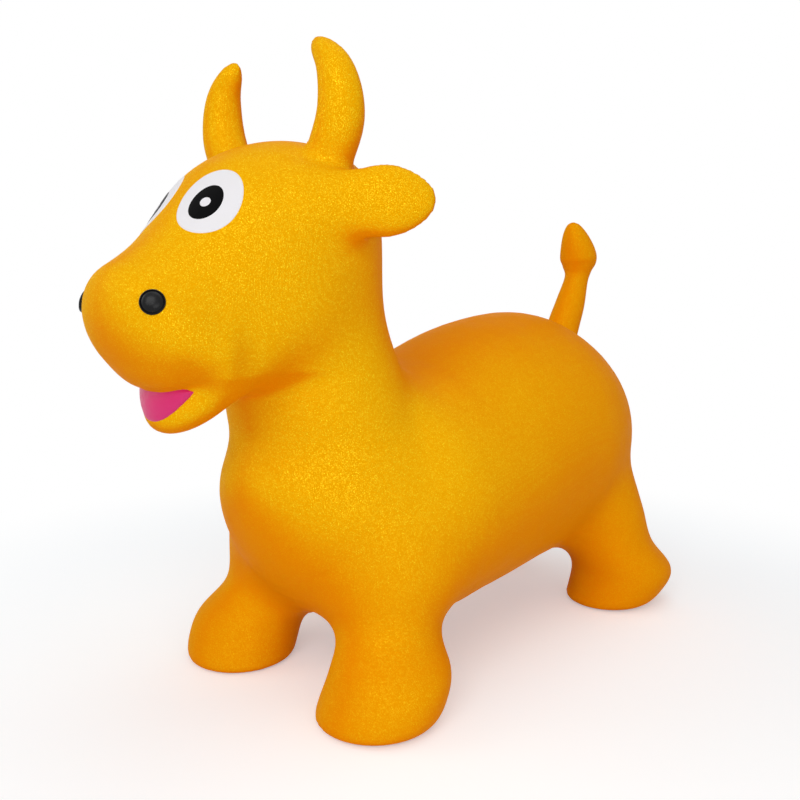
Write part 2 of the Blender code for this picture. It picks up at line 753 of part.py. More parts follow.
def valve_centre():
    """The point of the belly's skin where the valve sits, straight below the torso's spine."""
    torso = torso_lobe()
    centre = smooth_value(torso.spine, VALVE_SHARE)
    return centre - Z_AXIS * (smooth_value(torso.depths, VALVE_SHARE) / 2 * closing(torso, VALVE_SHARE)[0])


def cut_valve_hole(torso):
    radius = VALVE_BORE / 2 + VALVE_WALL + GAP
    profile = ((radius, -OVERRUN), (radius, OVERRUN))
    combine(torso, turned_object("hole", profile, valve_centre()), "DIFFERENCE")


def valve(torso):
    centre = valve_centre()
    bore = VALVE_BORE / 2
    barrel = bore + VALVE_WALL
    flange = VALVE_FLANGE_WIDTH / 2
    top = -VALVE_CLEARANCE
    bottom = top - VALVE_FLANGE_THICKNESS
    profile = (
        (bore, bottom),
        (flange, bottom),
        (flange, top),
        (barrel, top),
        (barrel, VALVE_DEPTH),
        (bore, VALVE_DEPTH),
    )
    seat = turned_object("valve_seat", profile, centre, closed=True)
    finish(seat, CLEAR_PVC, centre, torso)
    head_top = bottom - GAP
    head_bottom = head_top - PLUG_HEAD_THICKNESS
    shank = bore - PLUG_CLEARANCE
    head = PLUG_HEAD_WIDTH / 2
    profile = ((head, head_bottom), (head, head_top), (shank, head_top), (shank, VALVE_DEPTH - GAP))
    plug = turned_object("valve_plug", profile, centre)
    finish(plug, CLEAR_PVC, centre, torso)


def clear_scene():
    for obj in list(bpy.data.objects):
        bpy.data.objects.remove(obj)


def main():
    clear_scene()
    torso = torso_and_feet()
    head = head_and_its_flexes(torso)
    paint_eyes(head)
    set_nostrils(head)
    paint_mouth(head)
    valve(torso)
    torso.location.y = -MIDDLE_BACK


main()
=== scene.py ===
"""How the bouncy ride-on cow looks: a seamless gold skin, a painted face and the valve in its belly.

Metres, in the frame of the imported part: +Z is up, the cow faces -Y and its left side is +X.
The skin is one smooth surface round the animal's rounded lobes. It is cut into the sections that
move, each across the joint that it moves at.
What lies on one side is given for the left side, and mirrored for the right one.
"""

import json
import math
from dataclasses import dataclass

import bmesh
import bpy
import numpy as np
import openvdb
from mathutils import Matrix, Vector
from mathutils.bvhtree import BVHTree

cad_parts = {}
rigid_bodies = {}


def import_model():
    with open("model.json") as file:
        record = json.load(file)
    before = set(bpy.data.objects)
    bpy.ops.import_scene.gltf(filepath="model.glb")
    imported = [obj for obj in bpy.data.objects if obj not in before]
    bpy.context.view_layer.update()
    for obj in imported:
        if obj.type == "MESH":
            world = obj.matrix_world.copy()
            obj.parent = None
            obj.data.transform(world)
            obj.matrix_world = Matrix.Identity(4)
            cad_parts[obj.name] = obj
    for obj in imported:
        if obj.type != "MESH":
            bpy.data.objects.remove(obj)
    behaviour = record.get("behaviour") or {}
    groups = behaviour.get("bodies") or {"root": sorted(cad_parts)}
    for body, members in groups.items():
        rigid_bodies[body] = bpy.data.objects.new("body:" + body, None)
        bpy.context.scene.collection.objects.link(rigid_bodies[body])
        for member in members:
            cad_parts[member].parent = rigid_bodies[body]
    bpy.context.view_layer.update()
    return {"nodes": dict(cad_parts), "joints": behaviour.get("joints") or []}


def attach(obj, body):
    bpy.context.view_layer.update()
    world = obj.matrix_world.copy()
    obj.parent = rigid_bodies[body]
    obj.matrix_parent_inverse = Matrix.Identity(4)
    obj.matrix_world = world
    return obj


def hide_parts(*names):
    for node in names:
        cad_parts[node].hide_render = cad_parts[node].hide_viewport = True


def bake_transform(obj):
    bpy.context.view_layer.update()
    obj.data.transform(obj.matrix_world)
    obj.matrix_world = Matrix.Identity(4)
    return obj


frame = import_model()

LEFT, RIGHT = 1, -1
SIDES = (("left", LEFT), ("right", RIGHT))
X, Y, Z = np.eye(3)

# How far the animal's middle lies behind the line that its lobes are measured from

MIDDLE_BACK = 0.0036

# The grid on which the lobes are blended, and how finely they are made and smoothed

VOXEL = 0.003
BAND_VOXELS = 18
GRID_LOW = np.array((-0.21, -0.37, -0.06))
GRID_COUNTS = (140, 249, 208)
LOBE_RINGS = 48
LOBE_SEGMENTS = 64
SPINE_STEP = 0.001
SMOOTH_ROUNDS = 2
SMOOTH_FACTOR = 0.5

# Torso

CHEST_FORWARD = 0.1885
TORSO_LENGTH = 0.4985
TORSO_WIDTH = 0.256
BACK_HEIGHT = 0.310
BELLY_CLEARANCE = 0.044
TORSO_TOP_SHARES = (0.86, 0.81, 0.869, 0.972, 1.0, 0.975)
TORSO_BOTTOM_SHARES = (2.7, 0.95, 0.90, 1.05, 1.25, 2.0)
TORSO_WIDTH_SHARES = (0.88, 0.98, 1.0, 1.0, 0.99, 0.94)
TORSO_ROUND_SHARES = (0.32, 0.33)

# Legs: the hip is inside the torso, the sole is flat on the floor

HIP_HEIGHT = 0.150
FOOT_WIDTH = 0.102
LEG_ALONG_SHARES = (0, 0.28, 0.54, 0.75, 0.9, 1)
LEG_SPLAY_SHARES = (0, 0, 0.3, 1, 0.6, 0)
LEG_ROUND_SHARES = (0.3, 0.09)
FRONT_HIP = (0.058, -0.077, HIP_HEIGHT)
FRONT_FOOT = (0.085, -0.1335, 0)
FRONT_SPLAY = (0.011, 0, 0)
FRONT_LEG_WIDTH_SHARES = (1.1, 0.92, 0.75, 0.93, 0.97, 0.93)
FRONT_SOLE_SHARE = 0.85
REAR_HIP = (0.078, 0.208, HIP_HEIGHT)
REAR_FOOT = (0.090, 0.2145, 0)
REAR_SPLAY = (0.012, 0.019, 0)
REAR_LEG_WIDTH_SHARES = (1.1, 0.94, 0.92, 1.02, 0.95, 0.83)
REAR_SOLE_SHARE = 0.68

# Neck and skull, one lobe from inside the chest to the crown

CROWN_HEIGHT = 0.440
CROWN_FORWARD = 0.158
SKULL_WIDTH = 0.160
SKULL_DEPTH = 0.149
NECK_FORWARD_SHARES = (0.25, 0.62, 0.82, 0.93, 1)
NECK_HEIGHT_SHARES = (0.25, 0.46, 0.66, 0.84, 1)
NECK_WIDTH_SHARES = (1.1, 1.05, 0.93, 1.0, 0.98)
NECK_DEPTH_SHARES = (1.1, 1.04, 0.88, 1.0, 0.95)
NECK_ROUND_SHARES = (0.25, 0.19)

# Muzzle, from inside the skull to the snout

SNOUT = (0, -0.2955, 0.2925)
MUZZLE_WIDTH = 0.108
MUZZLE_DEPTH = 0.094
MUZZLE_ALONG_SHARES = (0, 0.4, 0.75, 1)
MUZZLE_BOW = 0.002
MUZZLE_BOW_SHARES = (0, 1, -0.7, 0)
MUZZLE_WIDTH_SHARES = (1.0, 1.15, 1.03, 1.03)
MUZZLE_DEPTH_SHARES = (1.1, 1.09, 1.00, 0.95)
MUZZLE_ROUND_SHARES = (0.3, 0.26)
MUZZLE_SQUARENESS = 2.2

# Upper lip, a level roll across the muzzle, whose corners lie further back and lower

LIP_HALF_WIDTH = 0.040
LIP_FORWARD = 0.2615
LIP_HEIGHT = 0.2785
LIP_CORNERS_BACK = 0.020
LIP_CORNERS_DROP = 0.0022
LIP_THICKNESS = 0.023
LIP_ACROSS_SHARES = (-1, -0.5, 0, 0.5, 1)
LIP_ROUND_SHARES = (0.35, 0.35)

# Lower jaw

JAW_ROOT = (0, -0.152, 0.335)
CHIN = (0, -0.2620, 0.2318)
JAW_WIDTH = 0.082
JAW_DEPTH = 0.052
JAW_ALONG_SHARES = (0, 0.5, 1)
JAW_BOW = 0.004
JAW_BOW_SHARES = (0, 1, 0)
JAW_WIDTH_SHARES = (1.45, 1.29, 0.98)
JAW_DEPTH_SHARES = (1.24, 0.97, 0.96)
JAW_ROUND_SHARES = (0.3, 0.35)

# Cheeks: a short roll each, from its front end in equal steps

CHEEK_OUT = 0.0410
CHEEK_FORWARD = 0.264
CHEEK_HEIGHT = 0.302
CHEEK_STEP_OUT = 0.0035
CHEEK_STEP_BACK = 0.009
CHEEK_STEP_DOWN = 0.006
CHEEK_THICKNESS = 0.022
CHEEK_POINTS = 4
CHEEK_ROUND_SHARES = (0.45, 0.45)

# Horns

HORN_ROOT = (0.042, -0.146, 0.400)
HORN_TIP = (0.0460, -0.151, 0.507)
HORN_WIDTH = 0.037
HORN_ALONG_SHARES = (0, 0.25, 0.5, 0.78, 1)
HORN_BOW = 0.0258
HORN_BOW_SHARES = (0, 0.60, 1, 0.80, 0)
HORN_LEANS_FORWARD = (0.0026, 0.0015, 0.0004, 0.0006, 0.0008)
HORN_WIDTH_SHARES = (0.94, 0.95, 0.93, 0.73, 0.33)
HORN_ROUND_SHARES = (0.1, 0.10)

# Ears

EAR_ROOT = (0.0565, -0.179, 0.3885)
EAR_TIP = (0.1280, -0.1120, 0.3920)
EAR_WIDTH = 0.052
EAR_THICKNESS = 0.025
EAR_ALONG_SHARES = (0, 0.33, 0.66, 1)
EAR_WIDTH_SHARES = (0.65, 0.76, 1.0, 0.93)
EAR_THICKNESS_SHARES = (1, 1, 1, 0.8)
EAR_ROUND_SHARES = (0.1, 0.45)

# Tail

TAIL_ROOT = (0, 0.246, 0.240)
TAIL_TIP = (0, 0.277, 0.4075)
TAIL_WIDTH = 0.040
TAIL_ALONG_SHARES = (0, 0.25, 0.45, 0.62, 0.70, 0.78, 1)
TAIL_BOW = 0.023
TAIL_BOW_SHARES = (0, 0.3, 0.8, 1.1, 1.1, 0.98, 0)
TAIL_WIDTH_SHARES = (0.95, 0.92, 0.83, 0.68, 0.88, 1.10, 1.0)
TAIL_ROUND_SHARES = (0.1, 0.24)

# Reaches of the fillets between the lobes. A graded one has a place and a reach there, front and back.

FRONT_LEG_FILLET = ((-0.175, 0.018), (-0.13, 0.042))
REAR_LEG_FILLET = 0.028
LIP_FILLET = 0.018
MUZZLE_FILLET = 0.053
CHEEK_FILLET = 0.022
EAR_FILLET = 0.020
HORN_FILLET = 0.006
NECK_FILLET = ((-0.20, 0.014), (-0.14, 0.026))
TAIL_FILLET = 0.012

# The crease between the upper lip and the jaw. It softens away from the lip, most at the cheeks.

CREASE_REACH = 0.004
CREASE_HALF_WIDTH = 0.036
CREASE_FORWARD = 0.259
CREASE_DEPTH = 0.012
CREASE_END_SHARE = 0.8
CREASE_FADE_SHARE = 1.2
JAW_FILLET = 0.012
JAW_TO_CHEEK_FILLET = 0.036
CHEEK_BOTTOM_HEIGHT = 0.245
CHEEK_BOTTOM_FADE = 0.025

# The air valve's place in the belly, and the well in the skin that it sits in

VALVE = Vector((0, -0.0436, 0.03561))
VALVE_OPENING_RADIUS = 0.0075
VALVE_WELL_DEPTH = 0.017
VALVE_NEARNESS = 0.010

# How the cut ends of the skin's sections are closed inside

CUT_TOLERANCE = 1e-7
CAP_DEPTH = 0.002
CAP_INSET_SHARE = 0.03
CAP_BULGE = 0.001


@dataclass
class Bend:
    """Where a kind of section is cut off, and its start and end, measured from its joint along the way
    it points.

    The cut stays within its reach of the joint.
    """

    ahead: tuple
    cut: float
    start: float
    end: float
    reach: float


BENDS = {
    "head": Bend(ahead=(0, -0.5, 0.866), cut=-0.035, start=-0.033, end=0.030, reach=0.20),
    "tail": Bend(ahead=(0, 0.439, 0.898), cut=-0.003, start=-0.002, end=0.018, reach=0.032),
    "front_foot": Bend(ahead=(0.30, -0.35, -0.89), cut=0.004, start=0.005, end=0.030, reach=0.075),
    "rear_foot": Bend(ahead=(0.35, 0.30, -0.89), cut=0.004, start=0.005, end=0.030, reach=0.075),
    "horn": Bend(ahead=(0.428, -0.042, 0.903), cut=-0.010, start=-0.009, end=0.014, reach=0.030),
    "ear": Bend(ahead=(0.729, 0.683, 0.041), cut=0.012, start=0.013, end=0.028, reach=0.031),
}

# The joints' places are taken to a tenth of a millimetre

JOINT_PLACE_DIGITS = 4

# Films of paint: how far they sink into the skin, and how their rims rise, from the outline inwards

FILM_SINK = 0.0006
FILM_RIM_SHARES = (0.0, 0.62, 0.9, 1.0)
RAY_START = 0.04


@dataclass
class Oval:
    """An oval of paint on an eye. It may lie off the eye's middle, and its tilt is in radians."""

    kind: str
    width: float
    height: float
    inwards: float
    drop: float
    tilt: float
    rise: float


EYE = (0.0291, -0.2347, 0.3864)
EYE_AHEAD = (0.317, -0.719, 0.618)
EYE_OVALS = (
    Oval("eye_white", width=0.0470, height=0.0560, inwards=0, drop=0, tilt=0.10, rise=0.0004),
    Oval("pupil", width=0.0239, height=0.0302, inwards=0.0014, drop=0.0026, tilt=0.33, rise=0.0006),
    Oval("eye_glint", width=0.0080, height=0.0080, inwards=0.0015, drop=0.0028, tilt=0, rise=0.0008),
)
OVAL_SEGMENTS = 72
OVAL_ROW_SHARES = [0.04 + 0.86 * k / 5 for k in range(6)] + [0.955, 0.985, 1.0]

# Mouth: a sagging curve below its corners, and an upper edge that the upper lip hides

MOUTH_HALF_WIDTH = 0.0325
MOUTH_CORNER_HEIGHT = 0.2602
MOUTH_DROP = 0.0219
MOUTH_SQUARENESS = 2.2
MOUTH_UNDER_LIP = 0.007
MOUTH_MIDDLE_HEIGHT = 0.2535
MOUTH_RAY_FORWARD = 0.36
MOUTH_STEPS = 36
MOUTH_ROW_SHARES = (0.05, 0.2, 0.35, 0.5, 0.65, 0.8, 0.9, 0.96, 1.0)
MOUTH_RISE = 0.0006
MOUTH_SWELL = 0.0024
MOUTH_SWELL_HEIGHT = 0.244
MOUTH_SWELL_LENGTH = 0.014

# Nostril beads, and the valve's seat and plug: radii and heights in millimetres, from the skin out

MILLIMETRES = 1000
TURNED_SEGMENTS = 48
SHARP_ANGLE = math.radians(50)
NOSTRIL = (0.0440, -0.2912, 0.3210)
NOSTRIL_AHEAD = (0.74, -0.62, 0.26)
BEAD_PROFILE = (
    (0, -4), (8.2, -4), (8.3, 0.2), (8.1, 0.7), (7.7, 0.9), (7.4, 0.7), (7.2, 0.4), (7.0, 0.5),
    (6.7, 0.9), (6.1, 1.5), (5.2, 2.1), (4.1, 2.5), (2.8, 2.8), (1.4, 2.95), (0, 3.0),
)
SEAT_PROFILE = (
    (4.5, 2.2), (4.9, 2.6), (6.0, 2.6), (6.3, 2.3), (9.6, 2.0), (12.2, 1.8), (12.8, 1.4), (13.0, 0.9),
    (12.8, 0.4), (12.4, 0.2), (7.0, 0.2), (7.0, -13.6), (6.6, -14.0), (4.9, -14.0), (4.5, -13.6),
    (4.5, 2.2),
)
PLUG_PROFILE = (
    (0, -13.6), (3.6, -13.6), (4.2, -13.0), (4.4, -12.0), (4.4, 2.9), (9.2, 2.9), (9.8, 3.2),
    (10.0, 3.9), (9.8, 4.7), (9.1, 5.2), (7.8, 5.4), (6.8, 5.2), (6.2, 4.8), (4.6, 4.7), (3.0, 4.8),
    (0, 4.9),
)

# Floor, world and lamps. Each lamp has a name, a place, a size and a power in watts.

FLOOR_HALF_SIZE = 6
FLOOR_DROP = 0.0002
FLOOR_COLOUR = (0.86, 0.86, 0.86, 1)
FLOOR_ROUGHNESS = 0.9
FLOOR_GLOW_COLOUR = (0.90, 0.96, 1.0, 1)
FLOOR_GLOW = 0.36
FLOOR_FADE_START = 0.35
FLOOR_FADE_END = 0.75
WORLD_COLOUR = (0.98, 0.99, 1.0, 1)
WORLD_STRENGTH = 0.42
WHITE = (1, 1, 1, 1)
LAMPS = (
    ("key", (0.9, -1.6, 1.3), 1.2, 12.5),
    ("low", (1.45, -0.8, 0.16), 0.9, 5.5),
    ("side", (-1.5, -1.3, 1.2), 1.2, 5),
    ("top", (0.2, 0.3, 2.2), 1.6, 7),
)
LAMP_TARGET = Vector((0, 0, 0.22))

# Camera: its sensor and lens are in millimetres

CAMERA_PLACE = (0.512, -0.5686, 0.326)
CAMERA_TURN = math.radians(42.8)
CAMERA_DOWN = math.radians(7.3)
CAMERA_SENSOR = 36
CAMERA_LENS = 37.26


def mirrored(place, side):
    """A place or direction given for the left side, on the side that is asked for."""
    return side * place[0], place[1], place[2]


def sized(size, shares):
    return [size * share for share in shares]


def unit(v):
    return v / np.linalg.norm(v)


def add_object(name, mesh):
    made = bpy.data.objects.new(name, mesh)
    bpy.context.scene.collection.objects.link(made)
    return made


# Distance fields of lobes, and how they blend


def smooth_value(controls, share):
    """The value at a share of the way through evenly spaced controls, on a Catmull-Rom curve."""
    last = len(controls) - 1
    place = min(max(share, 0.0), 1.0) * last
    i = min(int(place), last - 1)
    t = place - i
    before, a = controls[max(i - 1, 0)], controls[i]
    b, after = controls[i + 1], controls[min(i + 2, last)]
    out_slope = (b - before) * (0.5 if i else 1.0)
    in_slope = (after - a) * (0.5 if i + 2 <= last else 1.0)
    return (
        a * (2 * t**3 - 3 * t**2 + 1)
        + out_slope * (t**3 - 2 * t**2 + t)
        + b * (3 * t**2 - 2 * t**3)
        + in_slope * (t**3 - t**2)
    )


def rounding(share, rounds, power, flat):
    """The share of its full size that a ring of a lobe has, with both ends rounded off."""
    along = 0.0
    if share < rounds[0]:
        along = share / rounds[0] - 1
    elif share > 1 - rounds[1]:
        along = 1 - (1 - share) / rounds[1]
    arc = max(0.0, 1 - abs(along) ** power) ** (1 / power)
    floor = flat if along > 0 else 0.0
    return floor + (1 - floor) * arc


def lobe(spine, widths, depths, side, rounds, level=False, power=2.0, flat=0.0):
    """The distance field of a tapered tube of elliptic rings, rounded off at both ends.

    A level tube points straight down all the way. A higher power makes the ends squarer, and flat is
    the share of its size that the last ring keeps, as a flat sole.
    """
    spine = np.array(spine, float)
    turn = np.arange(LOBE_SEGMENTS)[:, None] * math.tau / LOBE_SEGMENTS
    loops = []
    for k in range(1, LOBE_RINGS + (flat > 0)):
        share = (1 - math.cos(math.pi * k / LOBE_RINGS)) / 2
        factor = rounding(share, rounds, power, flat)
        ahead = -Z
        if not level:
            step = smooth_value(spine, share + SPINE_STEP) - smooth_value(spine, share - SPINE_STEP)
            ahead = unit(step)
        across = unit(side - ahead * (side @ ahead))
        up = np.cross(ahead, across)
        wide = smooth_value(widths, share) / 2 * factor
        deep = smooth_value(depths, share) / 2 * factor
        ring = across * wide * np.cos(turn) + up * deep * np.sin(turn)
        loops.append(smooth_value(spine, share) + ring)
    return tube_field(loops, spine[:1], spine[-1:])


def tube_field(loops, start, end):
    """The distance field of a closed tube through loops of points, with a point at either end."""
    count = len(loops) * LOBE_SEGMENTS
    points = np.concatenate(loops + [start, end]) - Y * MIDDLE_BACK
    here = np.arange(LOBE_SEGMENTS)
    after = (here + 1) % LOBE_SEGMENTS
    faces = [np.stack((np.full(LOBE_SEGMENTS, count), after, here), 1)]
    for k in range(len(loops) - 1):
        a, b = k * LOBE_SEGMENTS, (k + 1) * LOBE_SEGMENTS
        faces.append(np.stack((a + here, a + after, b + after), 1))
        faces.append(np.stack((a + here, b + after, b + here), 1))
    last = count - LOBE_SEGMENTS
    faces.append(np.stack((last + here, last + after, np.full(LOBE_SEGMENTS, count + 1)), 1))
    grid = openvdb.FloatGrid.createLevelSetFromPolygons(
        (points - GRID_LOW).astype(np.float32),
        triangles=np.concatenate(faces).astype(np.uint32),
        transform=openvdb.createLinearTransform(VOXEL),
        halfWidth=float(BAND_VOXELS),
    )
    field = np.zeros(GRID_COUNTS, np.float32)
    grid.copyToArray(field)
    return field


def bowed(start, end, along_shares, bow, bow_shares):
    """A spine from start to end that is pushed out towards bow on its way."""
    start, end, bow = np.array(start, float), np.array(end, float), np.array(bow, float)
    return [start + (end - start) * a + bow * b for a, b in zip(along_shares, bow_shares)]


def merged(a, b, reach):
    """The union of two fields, with a fillet of the given reach where they meet."""
    nearness = np.maximum(reach - np.abs(a - b), 0) / reach
    return np.minimum(a, b) - nearness * nearness * reach / 4


def grid_places(axis):
    return GRID_LOW[axis] + VOXEL * np.arange(GRID_COUNTS[axis])


def graded(front, back):
    """A reach that goes from the one at the front to the one at the back between their places."""
    places, reaches = zip(front, back)
    return np.interp(grid_places(1), places, reaches).astype(np.float32)[None, :, None]


def surface_of(field):
    """The smoothed surface of a field."""
    grid = openvdb.FloatGrid(1.0)
    grid.transform = openvdb.createLinearTransform(VOXEL)
    grid.copyFromArray(field)
    points, quads = grid.convertToQuads(0.0)
    mesh = bpy.data.meshes.new("surface")
    mesh.from_pydata((points + GRID_LOW).tolist(), [], quads.tolist())
    whole = add_object("surface", mesh)
    smooth = whole.modifiers.new("smooth", "SMOOTH")
    smooth.iterations = SMOOTH_ROUNDS
    smooth.factor = SMOOTH_FACTOR
    done = whole.evaluated_get(bpy.context.evaluated_depsgraph_get())
    surface = bmesh.new()
    surface.from_mesh(done.to_mesh())
    bpy.data.objects.remove(whole)
    surface.normal_update()
    return surface


# The animal's lobes


def torso_field():
    tops = sized(BACK_HEIGHT, TORSO_TOP_SHARES)
    bottoms = sized(BELLY_CLEARANCE, TORSO_BOTTOM_SHARES)
    last = len(tops) - 1
    spine = []
    for i, (top, bottom) in enumerate(zip(tops, bottoms)):
        spine.append((0, -CHEST_FORWARD + TORSO_LENGTH * i / last, (top + bottom) / 2))
    widths = sized(TORSO_WIDTH, TORSO_WIDTH_SHARES)
    depths = [top - bottom for top, bottom in zip(tops, bottoms)]
    return lobe(spine, widths, depths, X, TORSO_ROUND_SHARES)


def leg_field(side, hip, foot, splay, width_shares, sole_share):
    hip, foot, splay = (mirrored(place, side) for place in (hip, foot, splay))
    spine = bowed(hip, foot, LEG_ALONG_SHARES, splay, LEG_SPLAY_SHARES)
    widths = sized(FOOT_WIDTH, width_shares)
    return lobe(spine, widths, widths, X, LEG_ROUND_SHARES, level=True, flat=sole_share)


def front_leg_field(side):
    return leg_field(
        side, FRONT_HIP, FRONT_FOOT, FRONT_SPLAY, FRONT_LEG_WIDTH_SHARES, FRONT_SOLE_SHARE
    )


def rear_leg_field(side):
    return leg_field(side, REAR_HIP, REAR_FOOT, REAR_SPLAY, REAR_LEG_WIDTH_SHARES, REAR_SOLE_SHARE)


def neck_spine():
    spine = []
    for forward, height in zip(NECK_FORWARD_SHARES, NECK_HEIGHT_SHARES):
        spine.append(np.array((0, -CROWN_FORWARD * forward, CROWN_HEIGHT * height)))
    return spine


def neck_field():
    widths = sized(SKULL_WIDTH, NECK_WIDTH_SHARES)
    depths = sized(SKULL_DEPTH, NECK_DEPTH_SHARES)
    return lobe(neck_spine(), widths, depths, X, NECK_ROUND_SHARES)


def muzzle_field():
    """The muzzle starts inside the skull, one point of the neck's spine below the crown."""
    bow = Z * MUZZLE_BOW
    spine = bowed(neck_spine()[-2], SNOUT, MUZZLE_ALONG_SHARES, bow, MUZZLE_BOW_SHARES)
    widths = sized(MUZZLE_WIDTH, MUZZLE_WIDTH_SHARES)
    depths = sized(MUZZLE_DEPTH, MUZZLE_DEPTH_SHARES)
    return lobe(spine, widths, depths, X, MUZZLE_ROUND_SHARES, power=MUZZLE_SQUARENESS)


def lip_field():
    spine = []
    for x in LIP_ACROSS_SHARES:
        back = -LIP_FORWARD + LIP_CORNERS_BACK * x * x
        spine.append((LIP_HALF_WIDTH * x, back, LIP_HEIGHT - LIP_CORNERS_DROP * x * x))
    widths = [LIP_THICKNESS] * len(spine)
    return lobe(spine, widths, widths, Y, LIP_ROUND_SHARES)


def jaw_field():
    spine = bowed(JAW_ROOT, CHIN, JAW_ALONG_SHARES, Z * JAW_BOW, JAW_BOW_SHARES)
    widths = sized(JAW_WIDTH, JAW_WIDTH_SHARES)
    return lobe(spine, widths, sized(JAW_DEPTH, JAW_DEPTH_SHARES), X, JAW_ROUND_SHARES)


def cheek_field(side):
    """The cheek fills the hollow between the muzzle, the skull and the jaw."""
    spine = []
    for i in range(CHEEK_POINTS):
        out = side * (CHEEK_OUT + CHEEK_STEP_OUT * i)
        spine.append((out, -CHEEK_FORWARD + CHEEK_STEP_BACK * i, CHEEK_HEIGHT - CHEEK_STEP_DOWN * i))
    widths = [CHEEK_THICKNESS] * CHEEK_POINTS
    return lobe(spine, widths, widths, Z, CHEEK_ROUND_SHARES)


def horn_field(side):
    root, tip = mirrored(HORN_ROOT, side), mirrored(HORN_TIP, side)
    spine = bowed(root, tip, HORN_ALONG_SHARES, X * side * HORN_BOW, HORN_BOW_SHARES)
    spine = [point - Y * lean for point, lean in zip(spine, HORN_LEANS_FORWARD)]
    widths = sized(HORN_WIDTH, HORN_WIDTH_SHARES)
    return lobe(spine, widths, widths, Y, HORN_ROUND_SHARES)


def ear_field(side):
    root, tip = np.array(mirrored(EAR_ROOT, side)), np.array(mirrored(EAR_TIP, side))
    spine = [root + (tip - root) * share for share in EAR_ALONG_SHARES]
    widths = sized(EAR_WIDTH, EAR_WIDTH_SHARES)
    return lobe(spine, widths, sized(EAR_THICKNESS, EAR_THICKNESS_SHARES), Z, EAR_ROUND_SHARES)


def tail_field():
    spine = bowed(TAIL_ROOT, TAIL_TIP, TAIL_ALONG_SHARES, Y * TAIL_BOW, TAIL_BOW_SHARES)
    widths = sized(TAIL_WIDTH, TAIL_WIDTH_SHARES)
    return lobe(spine, widths, widths, X, TAIL_ROUND_SHARES)


def jaw_fillet():
    """A crisp crease under the upper lip, and a soft fillet round the rest of the jaw."""
    x, y, z = (grid_places(axis) for axis in range(3))
    across = (x[:, None, None] / CREASE_HALF_WIDTH) ** 2
    behind = np.clip((y[None, :, None] + CREASE_FORWARD) / CREASE_DEPTH, 0, None) ** 2
    away = np.clip((np.sqrt(across + behind) - CREASE_END_SHARE) / CREASE_FADE_SHARE, 0, 1)
    cheek = np.clip((z[None, None, :] - CHEEK_BOTTOM_HEIGHT) / CHEEK_BOTTOM_FADE, 0, 1)
    return (CREASE_REACH + away * (JAW_FILLET + JAW_TO_CHEEK_FILLET * cheek)).astype(np.float32)


def head_field():
    head = merged(neck_field(), merged(muzzle_field(), lip_field(), LIP_FILLET), MUZZLE_FILLET)
    head = merged(head, jaw_field(), jaw_fillet())
    for side in (LEFT, RIGHT):
        head = merged(head, cheek_field(side), CHEEK_FILLET)
        head = merged(head, ear_field(side), EAR_FILLET)
        head = merged(head, horn_field(side), HORN_FILLET)
    return head


def skin_surface():
    """The whole skin as one closed surface, with its soles flat on the floor."""
    body = torso_field()
    for side in (LEFT, RIGHT):
        body = merged(body, front_leg_field(side), graded(*FRONT_LEG_FILLET))
        body = merged(body, rear_leg_field(side), REAR_LEG_FILLET)
    body = merged(body, head_field(), graded(*NECK_FILLET))
    body = merged(body, tail_field(), TAIL_FILLET)
    surface = surface_of(body)
    for vert in surface.verts:
        vert.co.z = max(vert.co.z, 0.0)
    surface.normal_update()
    return surface


# Sections of the skin, one for each hinge of the frame


@dataclass
class Section:
    """A section of the skin, cut off near its joint. Its carrier, start and end are not used."""

    name: str
    carrier: str
    point: Vector
    ahead: Vector
    plane: Vector
    start: Vector
    end: Vector
    reach: float


def find_sections():
    """The sections in the order of the frame's joints, named after the bodies that they follow."""
    sections = []
    for joint in frame["joints"]:
        if joint["type"] != "hinge":
            continue
        name = joint["child"]
        side = RIGHT if "right_" in name else LEFT
        bend = BENDS[name.replace("left_", "").replace("right_", "")]
        point = Vector(round(place, JOINT_PLACE_DIGITS) for place in joint["pos_m"])
        ahead = Vector(mirrored(bend.ahead, side)).normalized()
        sections.append(
            Section(
                name=name,
                carrier=joint["parent"],
                point=point,
                ahead=ahead,
                plane=point + ahead * bend.cut,
                start=point + ahead * bend.start,
                end=point + ahead * bend.end,
                reach=bend.reach,
            )
        )
    return sections


def cut_off(surface, section):
    """Cut the surface along the section's plane, and find the faces that belong to the section."""
    near = [f for f in surface.faces if (f.calc_center_median() - section.point).length < section.reach]
    around = list({v for f in near for v in f.verts}) + list({e for f in near for e in f.edges}) + near
    cut = bmesh.ops.bisect_plane(
        surface, geom=around, plane_co=section.plane, plane_no=section.ahead, dist=CUT_TOLERANCE
    )
    fence = {g for g in cut["geom_cut"] if isinstance(g, bmesh.types.BMEdge)}
    if any(sum(e in fence for e in v.link_edges) != 2 for edge in fence for v in edge.verts):
        raise ValueError("the cut of %s does not close" % section.name)
    found = set()
    for face in (f for edge in fence for f in edge.link_faces):
        if (face.calc_center_median() - section.plane).dot(section.ahead) > 0:
            found.add(face)
    waiting = list(found)
    while waiting:
        for edge in waiting.pop().edges:
            if edge not in fence:
                for other in edge.link_faces:
                    if other not in found:
                        found.add(other)
                        waiting.append(other)
    return found


def opening_loops(faces):
    """The loops of vertices round the openings of a mesh, each in the order of its faces."""
    edges = {(face[i - 1], face[i]) for face in faces for i in range(len(face))}
    follows = {a: b for a, b in edges if (b, a) not in edges}
    loops = []
    while follows:
        start = min(follows)
        loop = [start]
        while follows[loop[-1]] != start:
            loop.append(follows.pop(loop[-1]))
        follows.pop(loop[-1])
        loops.append(loop)
    return loops


